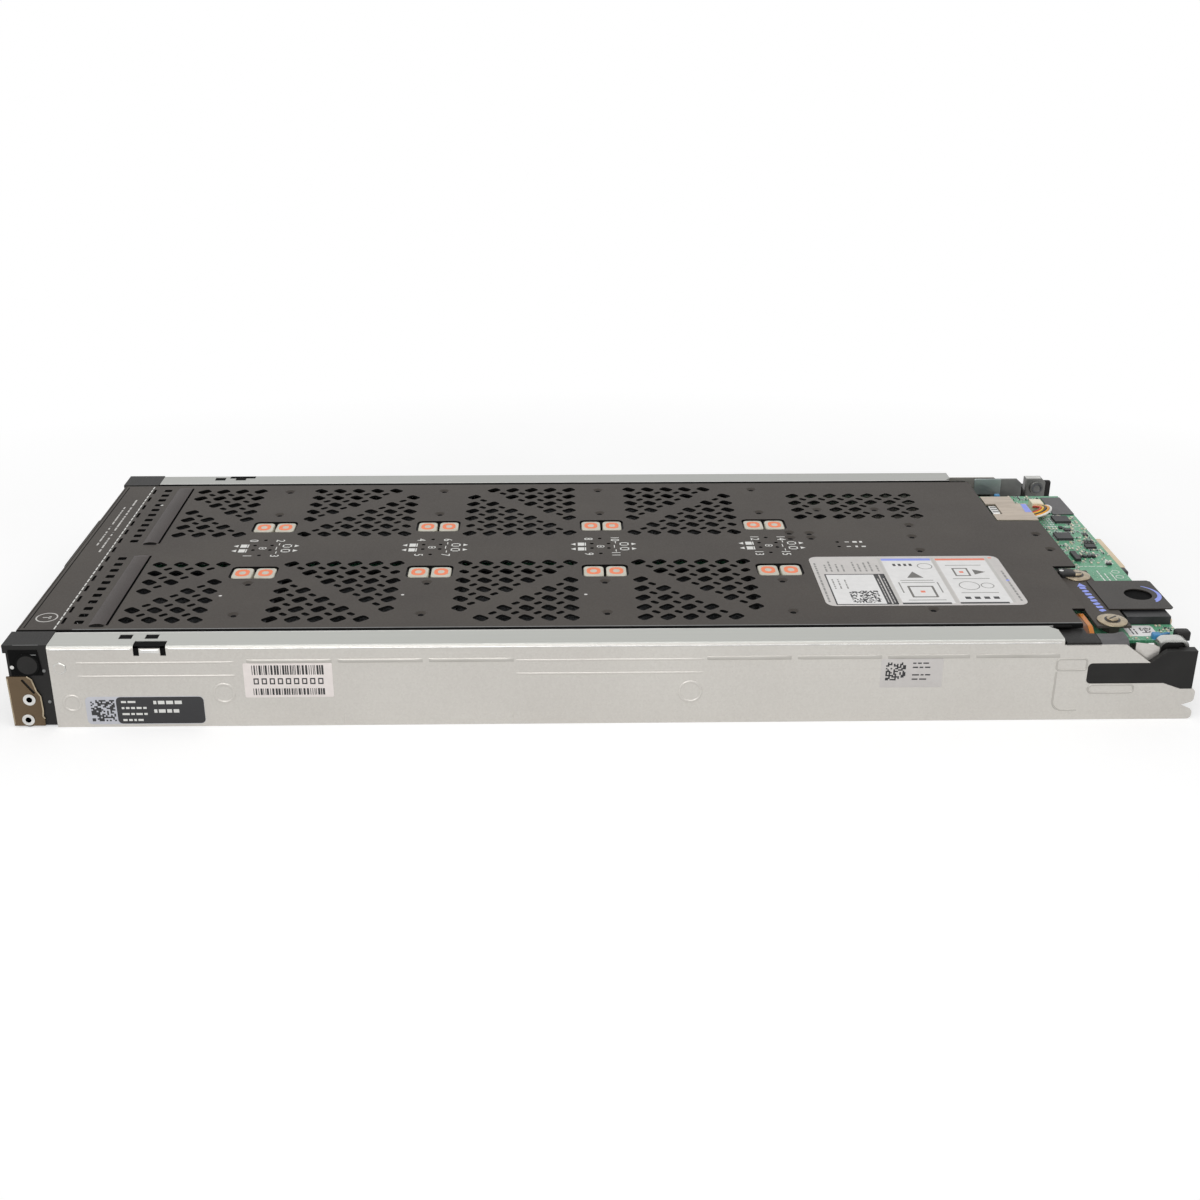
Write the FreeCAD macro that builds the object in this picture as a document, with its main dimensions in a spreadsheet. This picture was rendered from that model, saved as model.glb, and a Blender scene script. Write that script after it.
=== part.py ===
"""Storage sled: a sheet-metal channel with a pull-out drawer of sixteen small drives.

Frame: origin under the middle of the sled on the plane it lies on, +Z up, front towards -X,
near side wall towards -Y. Millimetres.
"""
import FreeCAD
import Part
import math
import os
import re
import Sketcher
from FreeCAD import Placement, Rotation, Vector

# Driving dimensions: alias, value, what it is
DIMENSIONS = [
    ("sled_length", 595, "overall length, front to rear"),
    ("sled_width", 250, "overall width over the two side walls"),
    ("sled_height", 45, "overall height, base to top of the lips"),
    ("gauge", 1.2, "sheet of walls, base and top panel"),
    ("fit", 0.3, "running clearance between sliding pieces"),
    ("front_depth", 22.2, "front frame depth, front end to the walls"),
    ("lip_width", 16, "width of the wall's top lip"),
    ("lip_tail", 70, "rear end of the lip, from the rear end"),
    ("lip_chamfer", 4.5, "chamfer on the lip's inner rear corner"),
    ("bend_radius", 1.8, "outside radius of the lip's bend"),
    ("web_drop", 3.5, "step down of the wall behind the lip"),
    ("web_flat_tail", 38.5, "end of the stepped wall edge, from the rear end"),
    ("lobe_tail", 0.5, "rear end of the wall's hook lobes, from the rear end"),
    ("lobe_low", 5, "top of the lower lobe"),
    ("lobe_mid", 10, "bottom of the upper lobe"),
    ("lobe_top", 17, "top of the upper lobe"),
    ("lobe_round", 2.2, "rounding of the lobes"),
    ("notch_tail", 7, "bottom of the notch between the lobes, from the rear end"),
    ("notch_rise", 7.8, "height of the notch's bottom"),
    ("hook_front", 64.5, "front of the hook slot, from the front end"),
    ("hook_length", 16, "length of the hook slot along the wall"),
    ("hook_leg", 2.8, "width of the hook slot's legs"),
    ("hook_drop", 5.5, "depth of the hook slot down the wall"),
    ("hook_inset", 5.5, "reach of the hook slot into the lip"),
    ("lip_slot_front", 55.5, "front of the first lip slot, from the front end"),
    ("lip_slot_length", 6.5, "length of a lip slot"),
    ("lip_slot_width", 5, "width of a lip slot"),
    ("lip_slot_pitch", 13, "pitch of the two lip slots"),
    ("near_slot_inset", 8, "near lip slots, from the outer face"),
    ("far_slot_inset", 4, "far lip slots, from the outer face"),
    ("pip_front", 27.5, "locating pip, from the front end"),
    ("pip_height", 33, "locating pip, height"),
    ("pip_radius", 2.6, "locating pip radius"),
    ("pip_proud", 0.5, "locating pip, off the wall"),
    ("base_tail", 7.5, "rear edge of the base, from the rear end"),
    ("bead_width", 6, "width of a stiffening bead in the base"),
    ("bead_rise", 0.5, "height of a stiffening bead"),
    ("bead_end", 60, "bead ends, from the ends of the base"),
    ("bead_offset", 62, "beads, from the centre line"),
    ("rail_gauge", 1, "sheet of the fixed slide rail"),
    ("rail_height", 8, "height of the fixed slide rail"),
    ("rail_reach", 11.8, "width of the fixed slide rail"),
    ("rail_inset", 4, "front of the rail, from the wall's front"),
    ("rail_tail", 78, "rear of the rail, from the rear end"),
    ("panel_gap", 2, "gap between top panel and lip"),
    ("panel_setback", 1.8, "front edge of the panel, from the front end"),
    ("panel_tail", 35.4, "rear edge of the panel, from the rear end"),
    ("nose_far", 37.4, "far edge of the panel's rear tongue, from the centre line"),
    ("nose_near", 32, "near edge of the panel's rear tongue, from the centre line"),
    ("far_notch_tail", 60.3, "far rear corner of the panel, from the rear end"),
    ("near_notch_tail", 48.3, "near rear step of the panel, from the rear end"),
    ("near_corner_tail", 55.3, "near rear corner of the panel, from the rear end"),
    ("near_step", 88.2, "near rear step of the panel, from the centre line"),
    ("floor_rise", 2, "underside of the drawer floor"),
    ("floor_gauge", 1, "sheet of the drawer floor"),
    ("floor_tail", 69.5, "rear edge of the drawer floor, from the rear end"),
    ("column_front", 59.5, "middle of the first drive column, from the front end"),
    ("column_pitch", 96, "pitch of the drive columns"),
    ("drive_width", 70, "drive, along the sled"),
    ("drive_length", 100, "drive, across the sled"),
    ("drive_height", 15, "drive, thickness"),
    ("plug_width", 44, "drive plug, along the sled"),
    ("plug_height", 6, "height of a drive plug"),
    ("plug_depth", 4, "depth of the plug notch in the drive"),
    ("spine_gauge", 1.6, "thickness of the boards"),
    ("spine_top", 36, "top edge of the spine board"),
    ("spine_inset", 25, "front end of the spine board, from the front end"),
    ("spine_over", 14, "spine board past the last frame's middle"),
    ("socket_depth", 5.7, "depth of a drive socket, off the spine"),
    ("shelf_gauge", 2, "shelf between the two drive layers"),
    ("shelf_reach", 3.3, "shelf, past the frame's side"),
    ("cap_width", 34, "width of the frame's cap under the panel"),
    ("cap_height", 6.8, "height of the frame's cap"),
    ("frame_inner", 7, "inner end of a frame, from the centre line"),
    ("window_length", 24.5, "button window, along the sled"),
    ("window_width", 15.5, "button window, across the sled"),
    ("window_offset", 34, "button window, from the centre line"),
    ("window_depth", 9, "button well, from the panel's top"),
    ("button_gap", 1.5, "gap between the two buttons of a pair"),
    ("button_end_play", 0.5, "gap between a button and the window's end"),
    ("button_side_play", 1, "gap between a button and the window's side"),
    ("button_length", "=(window_length - button_gap) / 2 - button_end_play", "button, along the sled"),
    ("button_width", "=window_width - 2 * button_side_play", "button, across the sled"),
    ("button_drop", 0.4, "button's face below the panel"),
    ("button_height", 6, "height of a button"),
    ("button_edge", 0.8, "chamfer of a button"),
    ("vent_pitch", 11.65, "pitch of the vents along the sled"),
    ("vent_row", 12.1, "pitch of the vent rows"),
    ("vent_start", 22.4, "first vent row, from the centre line"),
    ("vent_long", 7.3, "large vent, long side"),
    ("vent_short", 5.6, "large vent, short side"),
    ("vent_shrunk", 0.72, "scale of the large vents beside a window"),
    ("slit_long", 4.7, "small vent, long side"),
    ("slit_short", 2.9, "small vent, short side"),
    ("vent_turn", 40, "turn of the vents, degrees"),
    ("rear_vent_front", 419, "first column of the rear vents, from the front end"),
    ("rear_vent_start", 46, "first row of the rear vents, from the centre line"),
    ("rear_vent_row", 11.95, "pitch of the rear vent rows"),
    ("intake_front", 30.5, "row of square intakes, from the front end"),
    ("intake_start", 13, "first square intake, from the centre line"),
    ("intake_pitch", 8.4, "pitch of the square intakes"),
    ("intake_long", 4.6, "square intake, along the sled"),
    ("intake_short", 4, "square intake, across the sled"),
    ("louvre_front", 45.5, "open edge of the front louvres, from the front end"),
    ("louvre_slot", 1.3, "open slot of a louvre"),
    ("louvre_width", 8.5, "width of a louvre's hood"),
    ("louvre_rise", 1, "height of a louvre's hood above the panel"),
    ("louvre_inner", 9, "inner end of a louvre, from the centre line"),
    ("louvre_outer", 101, "outer end of a louvre, from the centre line"),
    ("frame_wall", 3, "wall of the front frame"),
    ("frame_rise", 0.6, "underside of the front frame"),
    ("frame_setback", 1.5, "front face of the front frame, from the front end"),
    ("frame_gap", 0.3, "gap between front frame and walls"),
    ("corner_inset", 0.6, "corner block of the front frame, off the panel"),
    ("boss_radius", 6, "round boss on the front frame's near end"),
    ("boss_front", 11.5, "boss, from the front end"),
    ("boss_rise", 34.5, "boss, height"),
    ("boss_proud", 1, "boss, off the frame's end"),
    ("grille_front", 9.5, "front face of the grille, from the front end"),
    ("grille_gauge", 2.5, "thickness of the grille"),
    ("grille_slot", 7.5, "grille slot width"),
    ("grille_pitch", 13, "grille slot pitch"),
    ("grille_tall", 28, "grille slot height"),
    ("plate_gauge", 0.9, "latch plate thickness"),
    ("plate_length", 15.5, "latch plate, along the sled"),
    ("plate_height", 27.5, "latch plate, height"),
    ("plate_corner", 5, "latch plate, cut rear top corner"),
    ("rivet_head", 3, "rivet head radius"),
    ("rivet_proud", 0.5, "rivet head height"),
    ("lower_rivet_front", 8, "lower rivet, from the front end"),
    ("lower_rivet_rise", 4.2, "lower rivet, height"),
    ("upper_rivet_front", 10, "upper rivet, from the front end"),
    ("upper_rivet_rise", 15.5, "upper rivet, height"),
    ("pivot_front", 4.2, "handle pivot, from the front end"),
    ("pivot_offset", 104, "handle pivot, from the centre line"),
    ("pivot_radius", 1.25, "handle pin radius"),
    ("pivot_play", 0.05, "radial play of the handle on its pin"),
    ("pivot_eye", 3, "handle eye, outside radius"),
    ("arm_gauge", 3, "handle arm thickness"),
    ("arm_low", 24, "underside of the handle arm"),
    ("arm_high", 40, "top of the handle arm"),
    ("grip_gauge", 1.2, "handle grip thickness"),
    ("grip_near", 24, "near end of the grip, from the centre line"),
    ("grip_far", 52, "far end of the grip, from the centre line"),
    ("grip_low", 14, "underside of the grip"),
    ("grip_drop", 0.5, "top of the grip, below the lips"),
    ("push_radius", 5, "drawer release button radius"),
    ("push_play", 0.2, "radial play of the drawer release button"),
    ("push_flange", 6.5, "flange of the drawer release button"),
    ("push_flange_gauge", 1.5, "flange thickness"),
    ("push_proud", 3.5, "release button, off the grille"),
    ("push_offset", 85, "release button, from the centre line"),
    ("push_rise", 22, "release button, height"),
    ("expander_tail", 74, "rear edge of the expander board, from the rear end"),
    ("expander_length", 100, "expander board, along the sled"),
    ("expander_half", 97, "expander board, half width"),
    ("expander_rise", 16, "underside of the expander board"),
    ("post_radius", 3, "board standoff radius"),
    ("post_inset", 8, "board standoff, from the board's edges"),
    ("sink_length", 40, "heat sink, along the sled"),
    ("sink_width", 36, "heat sink, across the sled"),
    ("sink_height", 16, "heat sink height"),
    ("sink_base", 3, "heat sink base"),
    ("sink_fin", 1.6, "heat sink fin"),
    ("sink_pitch", 6.8, "heat sink fin pitch"),
    ("sink_offset", 62, "heat sinks, from the centre line"),
    ("sink_front", -3, "front of the heat sinks, from the expander board's front edge"),
    ("board_front_tail", 66, "front edge of the rear board, from the rear end"),
    ("board_tail", 4.5, "rear edge of the rear board, from the rear end"),
    ("board_near", 13, "near edge of the rear board, from the near wall's outer face"),
    ("board_far", 27, "far edge of the rear board, from the far wall's outer face"),
    ("board_top", 38, "top of the rear board"),
    ("carrier_top", 30, "top of the board carrier"),
    ("carrier_tail", 17, "rear edge of the board carrier, from the rear end"),
    ("carrier_out", 1, "carrier's legs, past the board's edges"),
    ("port_front_tail", 15.5, "front of the rear connectors, from the rear end"),
    ("port_low", 24, "underside of the rear connectors"),
    ("guide_front_tail", 56.5, "front of the guide arm, from the rear end"),
    ("guide_rear_tail", 2.5, "rear of the guide arm, from the rear end"),
    ("guide_low", 20.5, "underside of the guide arm"),
    ("guide_high", 31.5, "top of the guide arm"),
    ("guide_head_low", 17.2, "underside of the guide's head"),
    ("guide_head_high", 38, "top of the guide's head"),
    ("guide_head_tail", 17.5, "front of the guide's head, from the rear end"),
    ("guide_slant_tail", 25.5, "start of the guide head's slant, from the rear end"),
    ("guide_foot_tail", 8.5, "foot of the guide head's slant, from the rear end"),
    ("guide_gauge", 3, "thickness of the guide arm"),
    ("guide_head_gauge", 5, "thickness of the guide's head"),
    ("guide_round", 2, "rounding of the guide arm's front"),
    ("guide_play", 0.2, "gap between guide arm and wall"),
    ("bracket_front_tail", 20.5, "front of the corner bracket, from the rear end"),
    ("bracket_low", 30, "underside of the corner bracket"),
    ("bracket_drop", 1, "top of the corner bracket, below the lips"),
    ("bracket_tail", 5, "rear of the corner bracket, from the rear end"),
    ("bracket_depth", 5.8, "depth of the corner bracket"),
    ("bracket_round", 3, "rounding of the corner bracket's top"),
    ("bracket_boss", 4.5, "boss of the corner bracket, radius"),
    ("bracket_boss_proud", 1.5, "boss of the corner bracket, height"),
    ("plate_top_drop", 1.8, "top of the control module plate, below the lips"),
    ("module_gauge", 1.2, "control module plate thickness"),
    ("module_front_tail", 47.5, "front of the module plate, from the rear end"),
    ("module_rear_tail", 30, "rear of the module plate, from the rear end"),
    ("module_near", 106, "near edge of the module plate, from the centre line"),
    ("module_far", 34, "far edge of the module plate, from the centre line"),
    ("screw_tail", 38, "captive screws, from the rear end"),
    ("screw_near", 100, "near captive screw, from the centre line"),
    ("screw_far", 41.5, "far captive screw, from the centre line"),
    ("screw_head", 7.5, "captive screw head radius"),
    ("screw_head_rise", 1.4, "captive screw head height"),
    ("module_post", 4.5, "post under the module plate, radius"),
    ("tab_gauge", 0.6, "pull tab film thickness"),
    ("tab_root_tail", 35, "pull tab's fold, from the rear end"),
    ("tab_rear_tail", 1, "pull tab's rear edge, from the rear end"),
    ("tab_near", 86.5, "pull tab's near edge, from the centre line"),
    ("tab_far", 50, "pull tab's far edge, from the centre line"),
    ("tab_lift", 0.1, "pull tab above the module plate"),
    ("tab_corner", 1.5, "pull tab's corner cut"),
    ("tab_hole", 7.2, "finger hole radius"),
    ("tab_hole_tail", 13.5, "finger hole, from the rear end"),
    ("tan_front_tail", 58.5, "front of the slotted bracket, from the rear end"),
    ("tan_rear_tail", 33.6, "rear of the slotted bracket, from the rear end"),
    ("tan_inner", 42.6, "inner edge of the slotted bracket, from the centre line"),
    ("tan_outer", 82.7, "outer edge of the slotted bracket, from the centre line"),
    ("tan_drop", 1.4, "top of the slotted bracket, below the lips"),
    ("tan_slot_inner", 52.6, "bracket slot, inner end"),
    ("tan_slot_outer", 69.6, "bracket slot, outer end"),
    ("tan_slot_depth", 6, "bracket slot, along the sled"),
    ("tan_cut", 12.5, "cut rear outer corner of the slotted bracket"),
    ("ribbon_front_tail", 54.3, "front edge of the flat cable, from the rear end"),
    ("ribbon_width", 5, "width of the flat cable"),
    ("ribbon_gauge", 0.4, "thickness of the flat cable"),
    ("ribbon_inner", 86, "inner end of the flat cable, from the centre line"),
    ("ribbon_crest", 103, "crest of the flat cable, from the centre line"),
    ("ribbon_drop", 2.6, "crest of the flat cable, below the lips"),
    ("clamp_front_tail", 50.5, "front of the cable clamp, from the rear end"),
    ("clamp_length", 17, "cable clamp, along the sled"),
    ("clamp_reach", 11.4, "cable clamp, off the wall"),
    ("clamp_low", 33, "underside of the cable clamp"),
    ("clamp_high", 43.4, "top of the cable clamp"),
    ("clamp_round", 4, "rounding of the cable clamp"),
]

# Blocks on the rear board, their middle given from the rear end and the centre line
BLOCK_FIELDS = ("tail", "across", "length", "width", "height")
BOARD_BLOCKS = [
    ("logic_chip", 15.9, 54.9, 9.5, 9.5, 1.6),
    ("clock_chip", 23, 27.4, 9.5, 9.5, 1.6),
    ("coil", 25.5, -3, 3, 12, 1.8),
    ("small_chip", 12, 12, 6, 5, 1.4),
    ("cable_socket", 16.5, -88.8, 23, 9.5, 4.5),
    ("wire_plug", 25, 76.5, 7, 8, 4.6),
]
for block_name, *block_sizes in BOARD_BLOCKS:
    for block_field, block_size in zip(BLOCK_FIELDS, block_sizes):
        DIMENSIONS.append((f"{block_name}_{block_field}", block_size, f"{block_name} {block_field}"))

# Connectors under the rear board: near and far edge from the centre line
PORTS = [
    ("signal_port", -13, 30),
    ("key_port", -20, -13.5),
    ("side_port", -84, -58),
]
for port_name, port_near, port_far in PORTS:
    DIMENSIONS.append((f"{port_name}_near", port_near, f"{port_name}, near edge"))
    DIMENSIONS.append((f"{port_name}_far", port_far, f"{port_name}, far edge"))

doc = FreeCAD.newDocument("storage_sled")
sheet = doc.addObject("Spreadsheet::Sheet", "dims")
for row, (alias, value, note) in enumerate(DIMENSIONS, start=1):
    sheet.set(f"A{row}", note)
    sheet.set(f"B{row}", str(value))
    sheet.setAlias(f"B{row}", alias)
doc.recompute()

# Overall planes as expressions
FRONT = "(-sled_length / 2)"
REAR = "(sled_length / 2)"
SIDE = "(sled_width / 2)"
TOP = "sled_height"
WALL_FRONT = f"({FRONT} + front_depth)"
FRAME_BACK = f"({WALL_FRONT} - frame_gap)"
PANEL_UNDER = f"({TOP} - gauge)"
PANEL_HALF = f"({SIDE} - lip_width - panel_gap)"
FLOOR_TOP = "(floor_rise + floor_gauge)"
NEAR = -1
FAR = 1
SIDES = {"near": NEAR, "far": FAR}
COLUMNS = 4
LAYERS = 2
VENTS_ACROSS = 6
VENT_ROWS = 7
REAR_VENTS_ACROSS = 7
REAR_VENT_ROWS = 4
INTAKES = 11
nodes = []


def cells(expression):
    """The expression with each alias written as a cell of the sheet."""
    return re.sub(r"[a-z_]+", lambda word: "dims." + word.group(), str(expression))


def value_of(expression):
    """Number that an expression of the sheet's aliases comes to."""
    result = sheet.evalExpression(cells(expression))
    return float(getattr(result, "Value", result))


def across(side, inner, outer):
    """Span across the sled on one side of the centre plane, given by its distances from it."""
    if side == FAR:
        return inner, outer
    return f"-({outer})", f"-({inner})"


def at(side, distance):
    """Place across the sled at a distance from the centre plane."""
    return f"{side} * ({distance})"


def block(label, x, y, z):
    """Box between the low and high expressions of each axis."""
    box = doc.addObject("Part::Box", label)
    for axis, edge, (low, high) in zip("xyz", ("Length", "Width", "Height"), (x, y, z)):
        box.setExpression(f"Placement.Base.{axis}", cells(low))
        box.setExpression(edge, cells(f"({high}) - ({low})"))
    return box


def rod(label, axis, centre, span, radius):
    """Cylinder along an axis; centre holds the other two coordinates in x, y, z order."""
    turn = {"x": Rotation(Vector(0, 1, 0), 90), "y": Rotation(Vector(1, 0, 0), -90), "z": Rotation()}
    cylinder = doc.addObject("Part::Cylinder", label)
    cylinder.Placement = Placement(Vector(), turn[axis])
    cylinder.setExpression("Radius", cells(radius))
    cylinder.setExpression("Height", cells(f"({span[1]}) - ({span[0]})"))
    cylinder.setExpression(f"Placement.Base.{axis}", cells(span[0]))
    for other, place in zip([letter for letter in "xyz" if letter != axis], centre):
        cylinder.setExpression(f"Placement.Base.{other}", cells(place))
    return cylinder


def hex_post(label, centre, span, radius):
    """Upright hexagonal standoff."""
    post = doc.addObject("Part::Prism", label)
    post.Polygon = 6
    post.setExpression("Circumradius", cells(radius))
    post.setExpression("Height", cells(f"({span[1]}) - ({span[0]})"))
    for axis, place in zip("xyz", (*centre, span[0])):
        post.setExpression(f"Placement.Base.{axis}", cells(place))
    return post


def prism(label, plane, span, outline):
    """Body padded from a closed sketch on a base plane, between two places along its normal."""
    body = doc.addObject("PartDesign::Body", label)
    sketch = body.newObject("Sketcher::SketchObject", label + "_outline")
    role = plane + "_Plane"
    sketch.AttachmentSupport = [([f for f in body.Origin.OriginFeatures if f.Role == role][0], "")]
    sketch.MapMode = "FlatFace"
    start = f"-({span[1]})" if plane == "XZ" else span[0]
    sketch.setExpression("AttachmentOffset.Base.z", cells(start))
    corners = [Vector(value_of(u), value_of(v), 0) for u, v in outline]
    count = len(corners)
    for index, corner in enumerate(corners):
        sketch.addGeometry(Part.LineSegment(corner, corners[(index + 1) % count]), False)
    for index in range(count):
        sketch.addConstraint(Sketcher.Constraint("Coincident", index, 2, (index + 1) % count, 1))
    for index, (corner, place) in enumerate(zip(corners, outline)):
        for kind, number, expression in zip(("DistanceX", "DistanceY"), corner, place):
            bound = sketch.addConstraint(Sketcher.Constraint(kind, -1, 1, index, 1, number))
            sketch.setExpression(f"Constraints[{bound}]", cells(expression))
    pad = body.newObject("PartDesign::Pad", label + "_pad")
    pad.Profile = sketch
    pad.setExpression("Length", cells(f"({span[1]}) - ({span[0]})"))
    return body


def fuse(label, *pieces):
    """One solid from pieces that overlap or touch."""
    joined = doc.addObject("Part::MultiFuse", label)
    joined.Shapes = list(pieces)
    joined.Refine = True
    return joined


def cut(label, base, *tools):
    """The base less every tool."""
    pieces = doc.addObject("Part::Cut", label)
    pieces.Base = base
    pieces.Tool = tools[0] if len(tools) == 1 else fuse(label + "_tools", *tools)
    pieces.Refine = True
    return pieces


def group(label, *pieces):
    """Separate solids kept together."""
    bundle = doc.addObject("Part::Compound", label)
    bundle.Links = list(pieces)
    return bundle


def softened(label, base, kind, radius, chosen):
    """Fillet or chamfer on the edges of the base that the test picks."""
    doc.recompute()
    amount = value_of(radius)
    eased = doc.addObject("Part::" + kind, label)
    eased.Base = base
    picked = [i for i, edge in enumerate(base.Shape.Edges, start=1) if chosen(edge)]
    eased.Edges = [(index, amount, amount) for index in picked]
    return eased


def runs_along(edge, axis):
    """True for a straight edge along the axis."""
    direction = edge.Vertexes[-1].Point - edge.Vertexes[0].Point
    return len(edge.Vertexes) == 2 and abs(abs(direction.normalize().dot(axis)) - 1) < 1e-6


def near_any(edge, places, plane):
    """True where the edge's middle lies on one of the places, measured in two of the axes."""
    middle = edge.CenterOfMass
    return any(all(abs(getattr(middle, axis) - value_of(place)) < 1e-3 for axis, place in zip(plane, spot))
               for spot in places)


def keep(piece, label):
    """Names a finished sub-part."""
    piece.Label = label
    nodes.append(piece)
    return piece


ALONG_X = Vector(1, 0, 0)
ALONG_Y = Vector(0, 1, 0)


# Side walls: a web with a folded lip, a locating pip, hook lobes at the rear and a hook slot near the front
def side_wall(name, side, slot_inset):
    lip_inner = f"({SIDE} - lip_width)"
    lip_rear = f"({REAR} - lip_tail)"
    web = prism(name + "_web", "XZ", across(side, f"{SIDE} - gauge", SIDE), [
        (WALL_FRONT, "0"),
        (f"{REAR} - lobe_tail", "0"),
        (f"{REAR} - lobe_tail", "lobe_low"),
        (f"{REAR} - notch_tail", "notch_rise"),
        (f"{REAR} - lobe_tail", "lobe_mid"),
        (f"{REAR} - lobe_tail", "lobe_top"),
        (f"{REAR} - guide_foot_tail", "lobe_top"),
        (f"{REAR} - guide_head_tail", f"guide_low - guide_play"),
        (f"{REAR} - guide_front_tail - guide_play", f"guide_low - guide_play"),
        (f"{REAR} - guide_front_tail - guide_play", f"guide_high + guide_play"),
        (f"{REAR} - guide_slant_tail", f"guide_high + guide_play"),
        (f"{REAR} - web_flat_tail", f"{TOP} - web_drop"),
        (lip_rear, f"{TOP} - web_drop"),
        (lip_rear, TOP),
        (WALL_FRONT, TOP),
    ])
    lip = prism(name + "_lip", "XY", (f"{TOP} - gauge", TOP), [
        (WALL_FRONT, at(side, SIDE)),
        (lip_rear, at(side, SIDE)),
        (lip_rear, at(side, f"{lip_inner} + lip_chamfer")),
        (f"{lip_rear} - lip_chamfer", at(side, lip_inner)),
        (WALL_FRONT, at(side, lip_inner)),
    ])
    folded = softened(name + "_fold", fuse(name + "_sheet", web, lip), "Fillet", "bend_radius",
                      lambda edge: runs_along(edge, ALONG_X)
                      and near_any(edge, [(at(side, SIDE), TOP)], "yz"))
    lobes = [(f"{REAR} - lobe_tail", rise) for rise in ("0", "lobe_low", "lobe_mid", "lobe_top")]
    rounded = softened(name + "_lobes", folded, "Fillet", "lobe_round",
                       lambda edge: runs_along(edge, ALONG_Y) and near_any(edge, lobes, "xz"))
    hook_x = f"({FRONT} + hook_front)"
    hook_end = f"({hook_x} + hook_length)"
    reach = across(side, f"{SIDE} - hook_inset", f"{SIDE} + gauge")
    above = f"{TOP} + gauge"
    tools = [
        block(name + "_hook_bar", (hook_x, hook_end), reach, (f"{TOP} - gauge - fit", above)),
        block(name + "_hook_front_leg", (hook_x, f"{hook_x} + hook_leg"), reach,
              (f"{TOP} - hook_drop", above)),
        block(name + "_hook_rear_leg", (f"{hook_end} - hook_leg", hook_end), reach,
              (f"{TOP} - hook_drop", above)),
    ]
    for index in range(2):
        slot_x = f"({FRONT} + lip_slot_front + {index} * lip_slot_pitch)"
        tools.append(block(f"{name}_slot_{index}", (slot_x, f"{slot_x} + lip_slot_length"),
                           across(side, f"{SIDE} - {slot_inset} - lip_slot_width", f"{SIDE} - {slot_inset}"),
                           (f"{TOP} - 2 * gauge", above)))
    pip = rod(name + "_pip", "y", (f"{FRONT} + pip_front", "pip_height"),
              across(side, f"{SIDE} - gauge", f"{SIDE} + pip_proud"), "pip_radius")
    return keep(fuse(name + "_pressed", cut(name + "_cut", rounded, *tools), pip), name)


side_wall("near_side_wall", NEAR, "near_slot_inset")
side_wall("far_side_wall", FAR, "far_slot_inset")


# Base sheet between the walls, with two pressed stiffening beads
def base_plate():
    rear = f"({REAR} - base_tail)"
    inner = f"{SIDE} - gauge"
    plain = block("base_sheet", (WALL_FRONT, rear), (f"-({inner})", inner), ("0", "gauge"))
    beads = [block(f"base_bead_{name}", (f"{WALL_FRONT} + bead_end", f"{rear} - bead_end"),
                   across(side, "bead_offset - bead_width / 2", "bead_offset + bead_width / 2"),
                   ("gauge / 2", "gauge + bead_rise")) for name, side in SIDES.items()]
    keep(fuse("base_pressed", plain, *beads), "base_plate")


base_plate()


# Slide rails under the lips: a fixed channel on each wall and a runner on the drawer inside it
def slide(name, side):
    wall = f"({SIDE} - gauge)"
    top = f"({TOP} - gauge - fit)"
    low = f"({top} - rail_height)"
    web = f"({wall} - rail_gauge)"
    mouth = f"({wall} - rail_reach)"
    rail = prism(f"{name}_rail_body", "YZ", (f"{WALL_FRONT} + rail_inset", f"{REAR} - rail_tail"), [
        (at(side, wall), low),
        (at(side, mouth), low),
        (at(side, mouth), f"{low} + rail_gauge"),
        (at(side, web), f"{low} + rail_gauge"),
        (at(side, web), f"{top} - rail_gauge"),
        (at(side, mouth), f"{top} - rail_gauge"),
        (at(side, mouth), top),
        (at(side, wall), top),
    ])
    keep(rail, f"{name}_slide_rail")
    runner_low = f"({low} + rail_gauge + fit)"
    runner_high = f"({top} - rail_gauge - fit)"
    runner = prism(f"{name}_runner_body", "YZ", (FRAME_BACK, f"{REAR} - rail_tail"), [
        (at(side, f"{PANEL_HALF} - gauge"), runner_low),
        (at(side, f"{web} - fit"), runner_low),
        (at(side, f"{web} - fit"), runner_high),
        (at(side, PANEL_HALF), runner_high),
        (at(side, PANEL_HALF), PANEL_UNDER),
        (at(side, f"{PANEL_HALF} - gauge"), PANEL_UNDER),
    ])
    keep(runner, f"{name}_drawer_runner")


for side_name, side_sign in SIDES.items():
    slide(side_name, side_sign)


# Drawer floor with the standoffs of the expander board
def expander_posts():
    rear = f"({REAR} - expander_tail)"
    front = f"({rear} - expander_length)"
    places = [(x, at(side, "expander_half - post_inset"))
              for x in (f"{front} + post_inset", f"{rear} - post_inset") for side in SIDES.values()]
    return [hex_post(f"expander_post_{index}", place, (FLOOR_TOP, "expander_rise"), "post_radius")
            for index, place in enumerate(places)]


def drawer_floor():
    sheet_metal = block("floor_sheet", (FRAME_BACK, f"{REAR} - floor_tail"),
                        (f"-{PANEL_HALF}", PANEL_HALF), ("floor_rise", FLOOR_TOP))
    keep(fuse("floor_with_posts", sheet_metal, *expander_posts()), "drawer_floor")


drawer_floor()


def column_x(column):
    """Middle of a drive column."""
    return f"({FRONT} + column_front + {column} * column_pitch)"


def frame_x(column):
    """Middle of the frame behind a drive column."""
    return f"({column_x(column)} + column_pitch / 2)"


def layer_low(layer):
    """Underside of a drive in the lower or the upper layer."""
    return f"({FLOOR_TOP} + fit + {layer} * (drive_height + shelf_gauge + 2 * fit))"


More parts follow.
